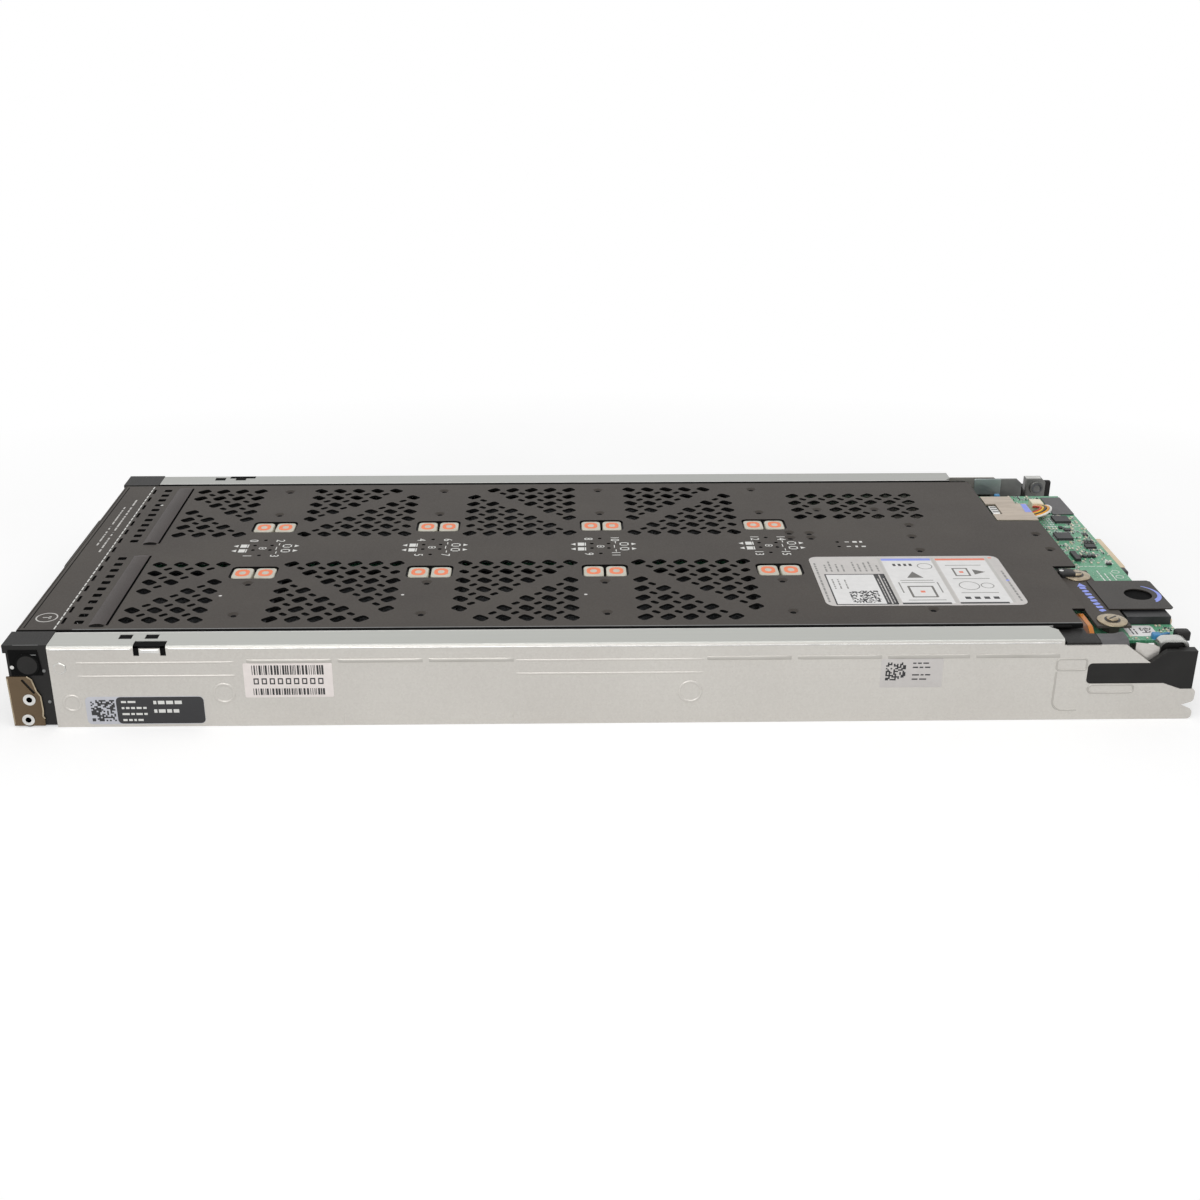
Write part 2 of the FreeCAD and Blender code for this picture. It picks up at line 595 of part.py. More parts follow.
# Drives: a pair of stacked drives in each bay, plugs towards the spine
def drive(name, column, side, layer):
    middle = column_x(column)
    low = layer_low(layer)
    inner = "(spine_gauge / 2 + socket_depth + fit)"
    body = block(name + "_block", (f"{middle} - drive_width / 2", f"{middle} + drive_width / 2"),
                 across(side, inner, f"{inner} + drive_length"), (low, f"{low} + drive_height"))
    notch = block(name + "_notch", (f"{middle} - plug_width / 2", f"{middle} + plug_width / 2"),
                  across(side, f"{inner} - fit", f"{inner} + plug_depth"),
                  (f"{low} + fit", f"{low} + fit + plug_height"))
    return cut(name, body, notch)


for column_index in range(COLUMNS):
    for side_name, side_sign in SIDES.items():
        pair_name = f"drive_pair_{side_name}_{column_index + 1}"
        stack = [drive(f"{pair_name}_{layer}", column_index, side_sign, layer) for layer in range(LAYERS)]
        keep(group(pair_name + "_stack", *stack), pair_name)


# Spine board with a socket for each drive
def spine():
    front = f"({FRONT} + spine_inset)"
    rear = f"({frame_x(COLUMNS - 1)} + spine_over)"
    keep(block("spine", (front, rear), ("-spine_gauge / 2", "spine_gauge / 2"), (FLOOR_TOP, "spine_top")),
         "spine_board")
    sockets = []
    for column in range(COLUMNS):
        span = (f"{column_x(column)} - plug_width / 2 + fit", f"{column_x(column)} + plug_width / 2 - fit")
        for name, side in SIDES.items():
            for layer in range(LAYERS):
                low = f"({layer_low(layer)} + fit)"
                sockets.append(block(f"socket_{name}_{column}_{layer}", span,
                                     across(side, "spine_gauge / 2", "spine_gauge / 2 + socket_depth"),
                                     (low, f"{low} + plug_height")))
    keep(group("socket_set", *sockets), "drive_sockets")


spine()


# Bay frames between the drive columns: a web with shelves, a cap under the panel and the button wells
def bay_frame(name, column, side):
    middle = frame_x(column)
    half = "((column_pitch - drive_width) / 2 - fit)"
    shelf_low = f"({layer_low(0)} + drive_height + fit)"
    cap_low = f"({PANEL_UNDER} - cap_height)"
    right = [(half, FLOOR_TOP), (half, shelf_low), (f"{half} + shelf_reach", shelf_low),
             (f"{half} + shelf_reach", f"{shelf_low} + shelf_gauge"), (half, f"{shelf_low} + shelf_gauge"),
             (half, cap_low), ("cap_width / 2", cap_low), ("cap_width / 2", PANEL_UNDER)]
    outline = [(f"{middle} + {reach}", rise) for reach, rise in right]
    outline += [(f"{middle} - {reach}", rise) for reach, rise in reversed(right)]
    post = prism(name + "_post", "XZ", across(side, "frame_inner", f"{PANEL_HALF} - gauge - fit"), outline)
    well = block(name + "_well", (f"{middle} - window_length / 2", f"{middle} + window_length / 2"),
                 across(side, "window_offset - window_width / 2", "window_offset + window_width / 2"),
                 (f"{TOP} - window_depth", TOP))
    return cut(name, post, well)


keep(group("frame_set", *[bay_frame(f"frame_{name}_{column}", column, side)
                          for column in range(COLUMNS) for name, side in SIDES.items()]), "bay_frames")


# Drive release buttons: two in each well
def release_button(number, column, side, place):
    centre = f"({frame_x(column)} + {place} * (button_length + button_gap) / 2)"
    face = f"({TOP} - button_drop)"
    middle = at(side, "window_offset")
    plain = block(f"button_{number}_block",
                  (f"{centre} - button_length / 2", f"{centre} + button_length / 2"),
                  (f"{middle} - button_width / 2", f"{middle} + button_width / 2"),
                  (f"{face} - button_height", face))
    eased = softened(f"button_{number}", plain, "Chamfer", "button_edge",
                     lambda edge: abs(edge.BoundBox.ZMin - value_of(face)) < 1e-3)
    keep(eased, f"drive_button_{number:02d}")


for column_index in range(COLUMNS):
    for offset, (button_side, button_place) in enumerate([(FAR, -1), (NEAR, -1), (FAR, 1), (NEAR, 1)]):
        release_button(4 * column_index + offset, column_index, button_side, button_place)


def turned_slot(x, y, long_side, short_side, turn):
    """Four-cornered outline about a middle, its long side turned by an angle in degrees."""
    angle = math.radians(turn)
    ahead = Vector(math.cos(angle), math.sin(angle), 0) * (long_side / 2)
    aside = Vector(-math.sin(angle), math.cos(angle), 0) * (short_side / 2)
    middle = Vector(x, y, 0)
    corners = [middle + ahead + aside, middle - ahead + aside, middle - ahead - aside, middle + ahead - aside]
    return Part.makePolygon(corners + corners[:1])


def vents():
    """Outlines of the drive vents: a field over each bay, cut by a bare diagonal.

    Fields alternate: the bare diagonal runs one way in the first and third column, the other way in
    the second and fourth, and the small vents sit between the large ones, turned across them.
    """
    pitch = value_of("vent_pitch")
    row_pitch = value_of("vent_row")
    turn = value_of("vent_turn")
    last = VENTS_ACROSS - 1
    holes = []
    for column in range(COLUMNS):
        middle = value_of(column_x(column))
        even = column % 2 == 0
        first = 2 if column == 0 else 0
        for side in SIDES.values():
            lean = side * (1 if even else -1)
            for row in range(VENT_ROWS):
                bare = VENTS_ACROSS - row if even else row - 1
                y = side * (value_of("vent_start") + row * row_pitch)
                for place in range(first, VENTS_ACROSS):
                    if place == bare:
                        continue
                    beside = row == 1 and (place == last if not even else place == 0 and column > 0)
                    scale = value_of("vent_shrunk") if beside else 1
                    x = middle + (place - last / 2) * pitch
                    holes.append(turned_slot(x, y, scale * value_of("vent_long"),
                                             scale * value_of("vent_short"), lean * turn))
                if row == VENT_ROWS - 1:
                    continue
                bare_cell = None if row == 0 else (last - row if even else row - 1)
                for cell in range(first, last):
                    if cell != bare_cell:
                        x = middle + (cell - (last - 1) / 2) * pitch
                        holes.append(turned_slot(x, y + side * row_pitch / 2, value_of("slit_long"),
                                                 value_of("slit_short"), -lean * turn))
    return holes


def rear_vents():
    """Outlines of the vents over the far heat sink, two left out where screws sit."""
    holes = []
    start = value_of(f"{FRONT} + rear_vent_front")
    pitch = value_of("vent_pitch")
    row_pitch = value_of("rear_vent_row")
    turn = value_of("vent_turn")
    screws = [(1, 1), (4, 1)]
    beside_screws = [(place, row - step) for place, row in screws for step in range(2)]
    for row in range(REAR_VENT_ROWS):
        y = value_of("rear_vent_start") + row * row_pitch
        for place in range(REAR_VENTS_ACROSS):
            x = start + place * pitch
            if (place, row) not in screws:
                holes.append(turned_slot(x, y, value_of("vent_long"), value_of("vent_short"), turn))
            inside = place < REAR_VENTS_ACROSS - 1 and row < REAR_VENT_ROWS - 1
            if inside and (place, row) not in beside_screws:
                holes.append(turned_slot(x + pitch / 2, y + row_pitch / 2, value_of("slit_long"),
                                         value_of("slit_short"), -turn))
    return holes


def front_cuts():
    """Outlines of the square intakes and the louvre slots behind the front edge."""
    holes = []
    louvre_middle = value_of("(louvre_inner + louvre_outer) / 2")
    for side in SIDES.values():
        for index in range(INTAKES):
            y = side * (value_of("intake_start") + index * value_of("intake_pitch"))
            holes.append(turned_slot(value_of(f"{FRONT} + intake_front"), y, value_of("intake_long"),
                                     value_of("intake_short"), 0))
        holes.append(turned_slot(value_of(f"{FRONT} + louvre_front"), side * louvre_middle,
                                 value_of("louvre_slot"), value_of("louvre_outer - louvre_inner"), 0))
    return holes


def windows():
    """Outlines of the button windows."""
    return [turned_slot(value_of(frame_x(column)), side * value_of("window_offset"),
                        value_of("window_length"), value_of("window_width"), 0)
            for column in range(COLUMNS) for side in SIDES.values()]


def louvre_hoods():
    """Long wedges that rise to the rear and end over the louvre slots."""
    crest = f"({FRONT} + louvre_front - louvre_slot / 2)"
    outline = [(f"{crest} - louvre_width", TOP), (crest, TOP), (crest, f"{TOP} + louvre_rise")]
    return [prism(f"louvre_hood_{name}", "XZ", across(side, "louvre_inner", "louvre_outer"), outline)
            for name, side in SIDES.items()]


# Top panel of the drawer: one perforated sheet with two louvres and a stepped rear edge
def drawer_panel():
    outline = [
        (f"{FRONT} + panel_setback", f"-{PANEL_HALF}"),
        (f"{REAR} - near_corner_tail", f"-{PANEL_HALF}"),
        (f"{REAR} - near_corner_tail", "-near_step"),
        (f"{REAR} - near_notch_tail", "-near_step"),
        (f"{REAR} - near_notch_tail", "-nose_near"),
        (f"{REAR} - panel_tail", "-nose_near"),
        (f"{REAR} - panel_tail", "nose_far"),
        (f"{REAR} - far_notch_tail", "nose_far"),
        (f"{REAR} - far_notch_tail", PANEL_HALF),
        (f"{FRONT} + panel_setback", PANEL_HALF),
    ]
    corners = [Vector(value_of(x), value_of(y), 0) for x, y in outline]
    edge = Part.makePolygon(corners + corners[:1])
    openings = vents() + rear_vents() + front_cuts() + windows()
    face = Part.makeFace([edge] + openings, "Part::FaceMakerBullseye")
    panel = doc.addObject("Part::Feature", "panel_sheet")
    panel.Shape = face.extrude(Vector(0, 0, value_of("gauge")))
    panel.Placement = Placement(Vector(0, 0, value_of(PANEL_UNDER)), Rotation())
    keep(fuse("panel_pressed", panel, *louvre_hoods()), "drawer_panel")


drawer_panel()


# Front frame of the drawer: a ring with corner blocks beside the panel and a ledge for the drives
FRAME_NEAR = f"({SIDE} - plate_gauge - rivet_proud)"
FRAME_FRONT = f"({FRONT} + frame_setback)"
CORNER_LOW = f"({PANEL_UNDER} - frame_wall)"
PIVOT_X = f"({FRONT} + pivot_front)"
PIVOT_Y = "(-pivot_offset)"


def drawer_front():
    depth = (FRAME_FRONT, FRAME_BACK)
    outside = block("front_outside", depth, (f"-{FRAME_NEAR}", SIDE), ("frame_rise", PANEL_UNDER))
    inside = block("front_inside", (f"{FRAME_FRONT} - fit", f"{FRAME_BACK} + fit"),
                   (f"frame_wall - {FRAME_NEAR}", f"{SIDE} - frame_wall"),
                   ("frame_rise + frame_wall", f"{PANEL_UNDER} - frame_wall"))
    corner_y = f"({PANEL_HALF} + corner_inset)"
    corners = [
        block("front_near_corner", (FRONT, FRAME_BACK), (f"-{FRAME_NEAR}", f"-{corner_y}"),
              (CORNER_LOW, TOP)),
        block("front_far_corner", (FRONT, FRAME_BACK), (corner_y, SIDE), (CORNER_LOW, TOP)),
    ]
    shelf_low = f"({layer_low(0)} + drive_height + fit)"
    ledge_reach = f"{column_x(0)} - drive_width / 2 + shelf_reach"
    ledges = [block(f"front_ledge_{name}", (f"{FRAME_BACK} - frame_wall", ledge_reach),
                    across(side, "frame_inner", f"{FRAME_NEAR} - frame_wall / 2"),
                    (shelf_low, f"{shelf_low} + shelf_gauge")) for name, side in SIDES.items()]
    boss = rod("front_boss", "y", (f"{FRONT} + boss_front", "boss_rise"),
               (f"-{FRAME_NEAR} - boss_proud", f"frame_wall - {FRAME_NEAR}"), "boss_radius")
    ring = cut("front_ring", outside, inside)
    keep(fuse("front_joined", ring, boss, *corners, *ledges), "drawer_front")


drawer_front()


# Grille in the front frame: upright slots and the bore of the drawer release button
GRILLE_X = f"({FRONT} + grille_front)"
GRILLE_BACK = f"({GRILLE_X} + grille_gauge)"


def front_grille():
    near = f"(frame_wall - {FRAME_NEAR})"
    far = f"({SIDE} - frame_wall)"
    low = "(frame_rise + frame_wall)"
    high = f"({PANEL_UNDER} - frame_wall)"
    plate = block("grille_plate", (GRILLE_X, GRILLE_BACK), (near, far), (low, high))
    through = (f"{GRILLE_X} - fit", f"{GRILLE_BACK} + fit")
    middle = f"(({low} + {high}) / 2)"
    count = int((value_of(far) - value_of(near)) / value_of("grille_pitch")) - 1
    clear_of = value_of("push_flange + grille_slot")
    slots = []
    for index in range(count):
        y = f"({near} + {index + 1} * grille_pitch)"
        if abs(value_of(y) - value_of("push_offset")) > clear_of:
            slots.append(block(f"grille_slot_{index}", through,
                               (f"{y} - grille_slot / 2", f"{y} + grille_slot / 2"),
                               (f"{middle} - grille_tall / 2", f"{middle} + grille_tall / 2")))
    bore = rod("grille_bore", "x", ("push_offset", "push_rise"), through, "push_radius + push_play")
    keep(cut("grille_cut", plate, bore, *slots), "front_grille")


front_grille()


# Drawer release button: a cap through the grille with a flange behind it
def drawer_release_button():
    cap = rod("push_cap", "x", ("push_offset", "push_rise"),
              (f"{GRILLE_X} - push_proud", f"{GRILLE_BACK} + fit + push_flange_gauge"), "push_radius")
    flange = rod("push_rim", "x", ("push_offset", "push_rise"),
                 (f"{GRILLE_BACK} + fit", f"{GRILLE_BACK} + fit + push_flange_gauge"), "push_flange")
    keep(fuse("push_button", cap, flange), "drawer_release_button")


drawer_release_button()


# Release handle: an arm on an upright pin, with a flat grip in front of the frame
def release_handle():
    rises = ("arm_low", "arm_high")
    arm_back = f"({FRAME_FRONT} - fit + arm_gauge)"
    arm_face = f"({FRAME_FRONT} - fit)"
    eye = rod("handle_eye", "z", (PIVOT_X, PIVOT_Y), rises, "pivot_eye")
    arm = block("handle_arm", (arm_face, arm_back), (PIVOT_Y, "-grip_near + arm_gauge"), rises)
    grip = block("handle_grip", (FRONT, f"{FRONT} + grip_gauge"), ("-grip_near", "grip_far"),
                 ("grip_low", f"{TOP} - grip_drop"))
    bore = rod("handle_bore", "z", (PIVOT_X, PIVOT_Y), ("arm_low - fit", "arm_high + fit"),
               "pivot_radius + pivot_play")
    keep(cut("handle_bored", fuse("handle_joined", eye, arm, grip), bore), "release_handle")
    keep(rod("handle_pivot", "z", (PIVOT_X, PIVOT_Y),
             ("frame_rise + frame_wall", f"{PANEL_UNDER} - frame_wall"), "pivot_radius"),
         "handle_pin")


release_handle()


# Latch plate on the near end of the front frame, held by two rivets
def latch_plate():
    low = "frame_rise"
    rear = f"({FRONT} + frame_setback + plate_length)"
    high = f"({low} + plate_height)"
    plate = prism("latch_sheet", "XZ", (f"-{FRAME_NEAR} - plate_gauge", f"-{FRAME_NEAR}"), [
        (FRAME_FRONT, low),
        (rear, low),
        (rear, f"{high} - 2 * plate_corner"),
        (f"{rear} - plate_corner / 2", f"{high} - plate_corner"),
        (f"{rear} - plate_corner / 2", high),
        (FRAME_FRONT, high),
    ])
    places = [(f"{FRONT} + lower_rivet_front", "lower_rivet_rise"),
              (f"{FRONT} + upper_rivet_front", "upper_rivet_rise")]
    keep(plate, "latch_plate")
    rivets = [rod(f"rivet_{index}", "y", place, (f"-{SIDE}", f"rivet_proud - {SIDE}"), "rivet_head")
              for index, place in enumerate(places)]
    keep(group("rivet_set", *rivets), "latch_rivets")


latch_plate()


# Expander board on the drawer floor's standoffs, with two finned heat sinks
def expander():
    rear = f"({REAR} - expander_tail)"
    top = "(expander_rise + spine_gauge)"
    keep(block("expander", (f"{rear} - expander_length", rear), ("-expander_half", "expander_half"),
               ("expander_rise", top)), "expander_board")
    fins = int((value_of("sink_width") - value_of("sink_fin")) / value_of("sink_pitch")) + 1
    sinks = []
    for name, side in SIDES.items():
        near = f"({at(side, 'sink_offset')} - sink_width / 2)"
        outline = [(near, top), (f"{near} + sink_fin + {fins - 1} * sink_pitch", top)]
        for index in reversed(range(fins)):
            left = f"({near} + {index} * sink_pitch)"
            outline.append((f"{left} + sink_fin", f"{top} + sink_height"))
            outline.append((left, f"{top} + sink_height"))
            if index:
                outline.append((left, f"{top} + sink_base"))
                outline.append((f"{left} - sink_pitch + sink_fin", f"{top} + sink_base"))
        sink_x = f"({rear} - expander_length + sink_front)"
        sinks.append(prism(f"sink_{name}", "YZ", (sink_x, f"{sink_x} + sink_length"), outline))
    keep(group("sink_set", *sinks), "heat_sinks")


expander()


# Rear board on its carrier, a channel standing on the base with a standoff at each corner
BOARD_UNDER = "(board_top - spine_gauge)"
BOARD_NEAR = f"(board_near - {SIDE})"
BOARD_FAR = f"({SIDE} - board_far)"


def rear_board():
    front = f"({REAR} - board_front_tail)"
    keep(block("board", (front, f"{REAR} - board_tail"), (BOARD_NEAR, BOARD_FAR),
               (BOARD_UNDER, "board_top")), "rear_board")
    near = f"({BOARD_NEAR} - carrier_out)"
    far = f"({BOARD_FAR} + carrier_out)"
    carrier = prism("carrier_channel", "YZ", (front, f"{REAR} - carrier_tail"), [
        (near, "gauge"),
        (f"{near} + gauge", "gauge"),
        (f"{near} + gauge", "carrier_top - gauge"),
        (f"{far} - gauge", "carrier_top - gauge"),
        (f"{far} - gauge", "gauge"),
        (far, "gauge"),
        (far, "carrier_top"),
        (near, "carrier_top"),
    ])
    places = [(x, y) for x in (f"{front} + post_inset", f"{REAR} - carrier_tail - post_inset")
              for y in (f"{BOARD_NEAR} + post_inset", f"{BOARD_FAR} - post_inset")]
    posts = [hex_post(f"carrier_post_{index}", place, ("carrier_top - gauge", BOARD_UNDER), "post_radius")
             for index, place in enumerate(places)]
    keep(fuse("carrier_with_posts", carrier, *posts), "board_carrier")


rear_board()


# Connectors under the rear edge of the board, and the parts on top of it
def rear_connectors():
    depth = (f"{REAR} - port_front_tail", REAR)
    ports = [block(name, depth, (f"{name}_near", f"{name}_far"), ("port_low", BOARD_UNDER))
             for name, near, far in PORTS]
    keep(group("port_set", *ports), "rear_connectors")


rear_connectors()


def board_parts():
    parts = []
    for name, *sizes in BOARD_BLOCKS:
        x = f"({REAR} - {name}_tail)"
        parts.append(block(name, (f"{x} - {name}_length / 2", f"{x} + {name}_length / 2"),
                           (f"{name}_across - {name}_width / 2", f"{name}_across + {name}_width / 2"),
                           ("board_top", f"board_top + {name}_height")))
    keep(group("chip_set", *parts[:-1]), "board_parts")
    keep(parts[-1], "wire_connector")


board_parts()


# Guide arms let into the rear of the walls, and the corner brackets behind them
def guide(name, side):
    outline = [
        (f"{REAR} - guide_front_tail", "guide_low"),
        (f"{REAR} - guide_head_tail", "guide_low"),
        (f"{REAR} - guide_foot_tail", "guide_head_low"),
        (f"{REAR} - guide_rear_tail", "guide_head_low"),
        (f"{REAR} - guide_rear_tail", "guide_head_high"),
        (f"{REAR} - guide_head_tail", "guide_head_high"),
        (f"{REAR} - guide_slant_tail", "guide_high"),
        (f"{REAR} - guide_front_tail", "guide_high"),
    ]
    arm = prism(f"{name}_guide_plate", "XZ", across(side, f"{SIDE} - guide_gauge", SIDE), outline)
    head = block(f"{name}_guide_head",
                 (f"{REAR} - guide_foot_tail - lobe_round", f"{REAR} - guide_rear_tail"),
                 across(side, f"{SIDE} - guide_head_gauge", SIDE), ("guide_low", "guide_head_high"))
    front = f"{REAR} - guide_front_tail"
    joined = fuse(f"{name}_guide_joined", arm, head)
    rounded = softened(f"{name}_guide_round", joined, "Fillet", "guide_round",
                       lambda edge: runs_along(edge, ALONG_Y)
                       and near_any(edge, [(front, "guide_low"), (front, "guide_high")], "xz"))
    keep(rounded, f"{name}_guide_arm")


def corner_bracket(name, side):
    outer = f"({SIDE} - guide_head_gauge - fit)"
    inner = f"({outer} - bracket_depth)"
    front = f"({REAR} - bracket_front_tail)"
    rear = f"({REAR} - bracket_tail)"
    high = f"({TOP} - bracket_drop)"
    plain = block(f"{name}_bracket_block", (front, rear), across(side, inner, outer), ("bracket_low", high))
    rounded = softened(f"{name}_bracket_round", plain, "Fillet", "bracket_round",
                       lambda edge: runs_along(edge, ALONG_Y)
                       and near_any(edge, [(front, high), (rear, high)], "xz"))
    centre = (f"({front} + {rear}) / 2", f"({high} + bracket_low) / 2")
    boss = rod(f"{name}_bracket_boss", "y", centre, across(side, f"{inner} - bracket_boss_proud", outer),
               "bracket_boss")
    keep(fuse(f"{name}_bracket_joined", rounded, boss), f"{name}_corner_bracket")


for side_name, side_sign in SIDES.items():
    guide(side_name, side_sign)
    corner_bracket(side_name, side_sign)


# Control module: a plate on two posts, held by captive screws, with a film pull tab
MODULE_TOP = f"({TOP} - plate_top_drop)"
SCREW_X = f"({REAR} - screw_tail)"


def control_module():
    under = f"({MODULE_TOP} - module_gauge)"
    plate = block("module_sheet", (f"{REAR} - module_front_tail", f"{REAR} - module_rear_tail"),
                  ("-module_near", "-module_far"), (under, MODULE_TOP))
    screw_places = [(SCREW_X, "-screw_near"), (SCREW_X, "-screw_far")]
    posts = [hex_post(f"module_post_{index}", place, ("board_top", MODULE_TOP), "module_post")
             for index, place in enumerate(screw_places)]
    keep(fuse("module_joined", plate, *posts), "control_module")
    screw_span = (MODULE_TOP, f"{MODULE_TOP} + screw_head_rise")
    screws = [rod(f"screw_{index}", "z", place, screw_span, "screw_head")
              for index, place in enumerate(screw_places)]
    keep(group("screw_set", *screws), "captive_screws")


control_module()


def pull_tab():
    low = f"({MODULE_TOP} + tab_lift)"
    root = f"({REAR} - tab_root_tail)"
    rear = f"({REAR} - tab_rear_tail)"
    film = prism("tab_film", "XY", (low, f"{low} + tab_gauge"), [
        (root, "-tab_near"),
        (f"{rear} - tab_corner", "-tab_near"),
        (rear, "tab_corner - tab_near"),
        (rear, "-tab_corner - tab_far"),
        (f"{rear} - tab_corner", "-tab_far"),
        (root, "-tab_far"),
    ])
    hole = rod("tab_finger_hole", "z", (f"{REAR} - tab_hole_tail", "-(tab_near + tab_far) / 2"),
               (f"{low} - fit", f"{low} + tab_gauge + fit"), "tab_hole")
    keep(cut("tab_cut", film, hole), "pull_tab")


pull_tab()


# Slotted bracket on the board, beside the panel's far rear corner
def slotted_bracket():
    front = f"({REAR} - tan_front_tail)"
    rear = f"({REAR} - tan_rear_tail)"
    high = f"({TOP} - tan_drop)"
    cover = prism("tan_cover", "XY", (f"{high} - rail_gauge", high), [
        (front, "tan_inner"),
        (rear, "tan_inner"),
        (rear, "tan_outer - tan_cut"),
        (f"{rear} - tan_cut / 2", "tan_outer - tan_cut"),
        (f"{rear} - tan_cut / 2", "tan_outer"),
        (front, "tan_outer"),
        (front, "tan_slot_outer"),
        (f"{front} + tan_slot_depth", "tan_slot_outer"),
        (f"{front} + tan_slot_depth", "tan_slot_inner"),
        (front, "tan_slot_inner"),
    ])
    legs = [block(f"tan_leg_{name}", (front, f"{rear} - tan_cut"), span, ("board_top", high))
            for name, span in (("inner", ("tan_inner", "tan_inner + rail_gauge")),
                               ("outer", ("tan_outer - rail_gauge", "tan_outer")))]
    keep(fuse("tan_joined", cover, *legs), "slotted_bracket")


slotted_bracket()


# Flat cable from the board up to the panel's near notch, and the clamp beside it on the wall
def flat_cable():
    front = f"({REAR} - ribbon_front_tail)"
    crest = f"({TOP} - ribbon_drop)"
    end = f"({BOARD_NEAR} + fit)"
    keep(prism("ribbon", "YZ", (front, f"{front} + ribbon_width"), [
        ("-ribbon_inner", "board_top"),
        ("-ribbon_inner", f"{crest} - ribbon_gauge"),
        ("-ribbon_crest", f"{crest} - ribbon_gauge"),
        (end, "board_top"),
        (f"{end} - ribbon_gauge", "board_top"),
        (f"{end} - ribbon_gauge", "board_top + ribbon_gauge"),
        ("-ribbon_crest - ribbon_gauge", crest),
        ("ribbon_gauge - ribbon_inner", crest),
        ("ribbon_gauge - ribbon_inner", "board_top"),
    ]), "flat_cable")


flat_cable()


def cable_clamp():
    front = f"({REAR} - clamp_front_tail)"
    wall = f"({SIDE} - gauge)"
    inner = f"({wall} - clamp_reach)"
    plain = block("clamp_block", (front, f"{front} + clamp_length"), across(NEAR, inner, wall),
                  ("board_top", "clamp_high"))
    foot = block("clamp_foot", (front, f"{front} + clamp_length"), across(NEAR, f"{wall} - gauge", wall),
                 ("clamp_low", "clamp_high"))
    keep(softened("clamp_round", fuse("clamp_joined", plain, foot), "Fillet", "clamp_round",
                  lambda edge: runs_along(edge, ALONG_X)
                  and near_any(edge, [(at(NEAR, wall), "clamp_high")], "yz")), "cable_clamp")


cable_clamp()


# Check every object, then write one file for each sub-part
doc.recompute()
failed = [item.Label for item in doc.Objects if set(item.State) & {"Invalid", "Error"}]
bad = [piece.Label for piece in nodes if piece.Shape.isNull() or not piece.Shape.isValid()]
if failed or bad:
    raise RuntimeError(f"failed objects {failed}, bad shapes {bad}")
os.makedirs("parts", exist_ok=True)
for piece in nodes:
    piece.Shape.exportStep(os.path.join("parts", piece.Label + ".step"))
print(len(nodes), "sub-parts")
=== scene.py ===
"""Look of a storage sled: a sheet-metal channel with a pull-out drawer of small drives.

Places and sizes are in millimetres in the part's own frame and become metres in the meshes.
"""
import math

import bmesh
import bpy
import numpy as np
from mathutils import Matrix, Vector
from mathutils.geometry import delaunay_2d_cdt


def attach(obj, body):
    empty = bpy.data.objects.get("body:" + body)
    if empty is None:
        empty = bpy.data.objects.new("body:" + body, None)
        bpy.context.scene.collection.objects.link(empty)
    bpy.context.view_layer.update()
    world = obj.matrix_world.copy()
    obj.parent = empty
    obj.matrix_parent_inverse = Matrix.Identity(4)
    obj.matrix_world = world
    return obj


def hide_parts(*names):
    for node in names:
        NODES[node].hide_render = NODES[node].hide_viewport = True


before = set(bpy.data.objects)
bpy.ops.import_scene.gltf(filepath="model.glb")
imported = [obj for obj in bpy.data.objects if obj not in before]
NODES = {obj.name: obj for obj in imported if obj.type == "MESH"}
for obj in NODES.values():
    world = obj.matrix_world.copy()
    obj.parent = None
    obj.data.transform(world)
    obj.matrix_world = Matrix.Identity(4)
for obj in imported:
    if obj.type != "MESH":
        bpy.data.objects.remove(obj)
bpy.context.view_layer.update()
MM = 0.001
SIDES = (-1, 1)
PANEL_TOP = 45.0
PANEL_FRONT = -295.7
PANEL_SIDE = 106
PANEL_REAR = {"near": 242.2, "far": 237.2}
WALL_FACE = 125.0
WALL_ENDS = (-275, 226)
BOARD_TOP = 38.0
MODULE_TOP = 43.22
COLUMNS = -238 + 96 * np.arange(4)
BUTTON_COLUMNS = COLUMNS + 48
BUTTON_ROW = 34
VENT_PITCH = 11.65
LARGE_VENT = (7.7, 5.9)
SMALL_VENT = (4.7, 2.9)
VENT_TURN = 40
INK = 0.02
AXIS = 0.02
chance = np.random.default_rng(7)


# Finishes

def tint(*rgb):
    """Linear colour of an sRGB one given in 0 to 255."""
    share = np.array(rgb, float) / 255
    linear = np.where(share <= 0.04045, share / 12.92, ((share + 0.055) / 1.055) ** 2.4)
    return (*linear, 1.0)


def node(tree, kind, feeds, **settings):
    """Outputs of a new shader node, its inputs fed with numbers, colours or the outputs of other nodes."""
    made = tree.nodes.new("ShaderNode" + kind)
    for name, value in settings.items():
        setattr(made, name, value)
    for socket, value in feeds.items():
        if isinstance(value, bpy.types.NodeSocket):
            tree.links.new(value, made.inputs[socket])
        else:
            made.inputs[socket].default_value = value
    return made.outputs


def blank(name, rough, metal=0.0, shine=0.5):
    """Bare finish: material, node tree, shader and Object coordinates."""
    finish = bpy.data.materials.new(name)
    finish.use_nodes = True
    tree = finish.node_tree
    shader = tree.nodes["Principled BSDF"]
    for socket, value in (("Roughness", rough), ("Metallic", metal), ("Specular IOR Level", shine)):
        shader.inputs[socket].default_value = value
    return finish, tree, shader, node(tree, "TexCoord", {})["Object"]


def stretched(tree, place, scale):
    """Coordinates scaled along each axis."""
    return node(tree, "Mapping", {"Vector": place, "Scale": scale})["Vector"]


def mottle(tree, place, scale, detail=3.0):
    """Noise with that many features to the metre."""
    return node(tree, "TexNoise", {"Vector": place, "Scale": scale, "Detail": detail})[0]


def cells(tree, place, scale):
    """Outputs of a pattern of flat cells with that many to the metre."""
    return node(tree, "TexVoronoi", {"Vector": place, "Scale": scale})


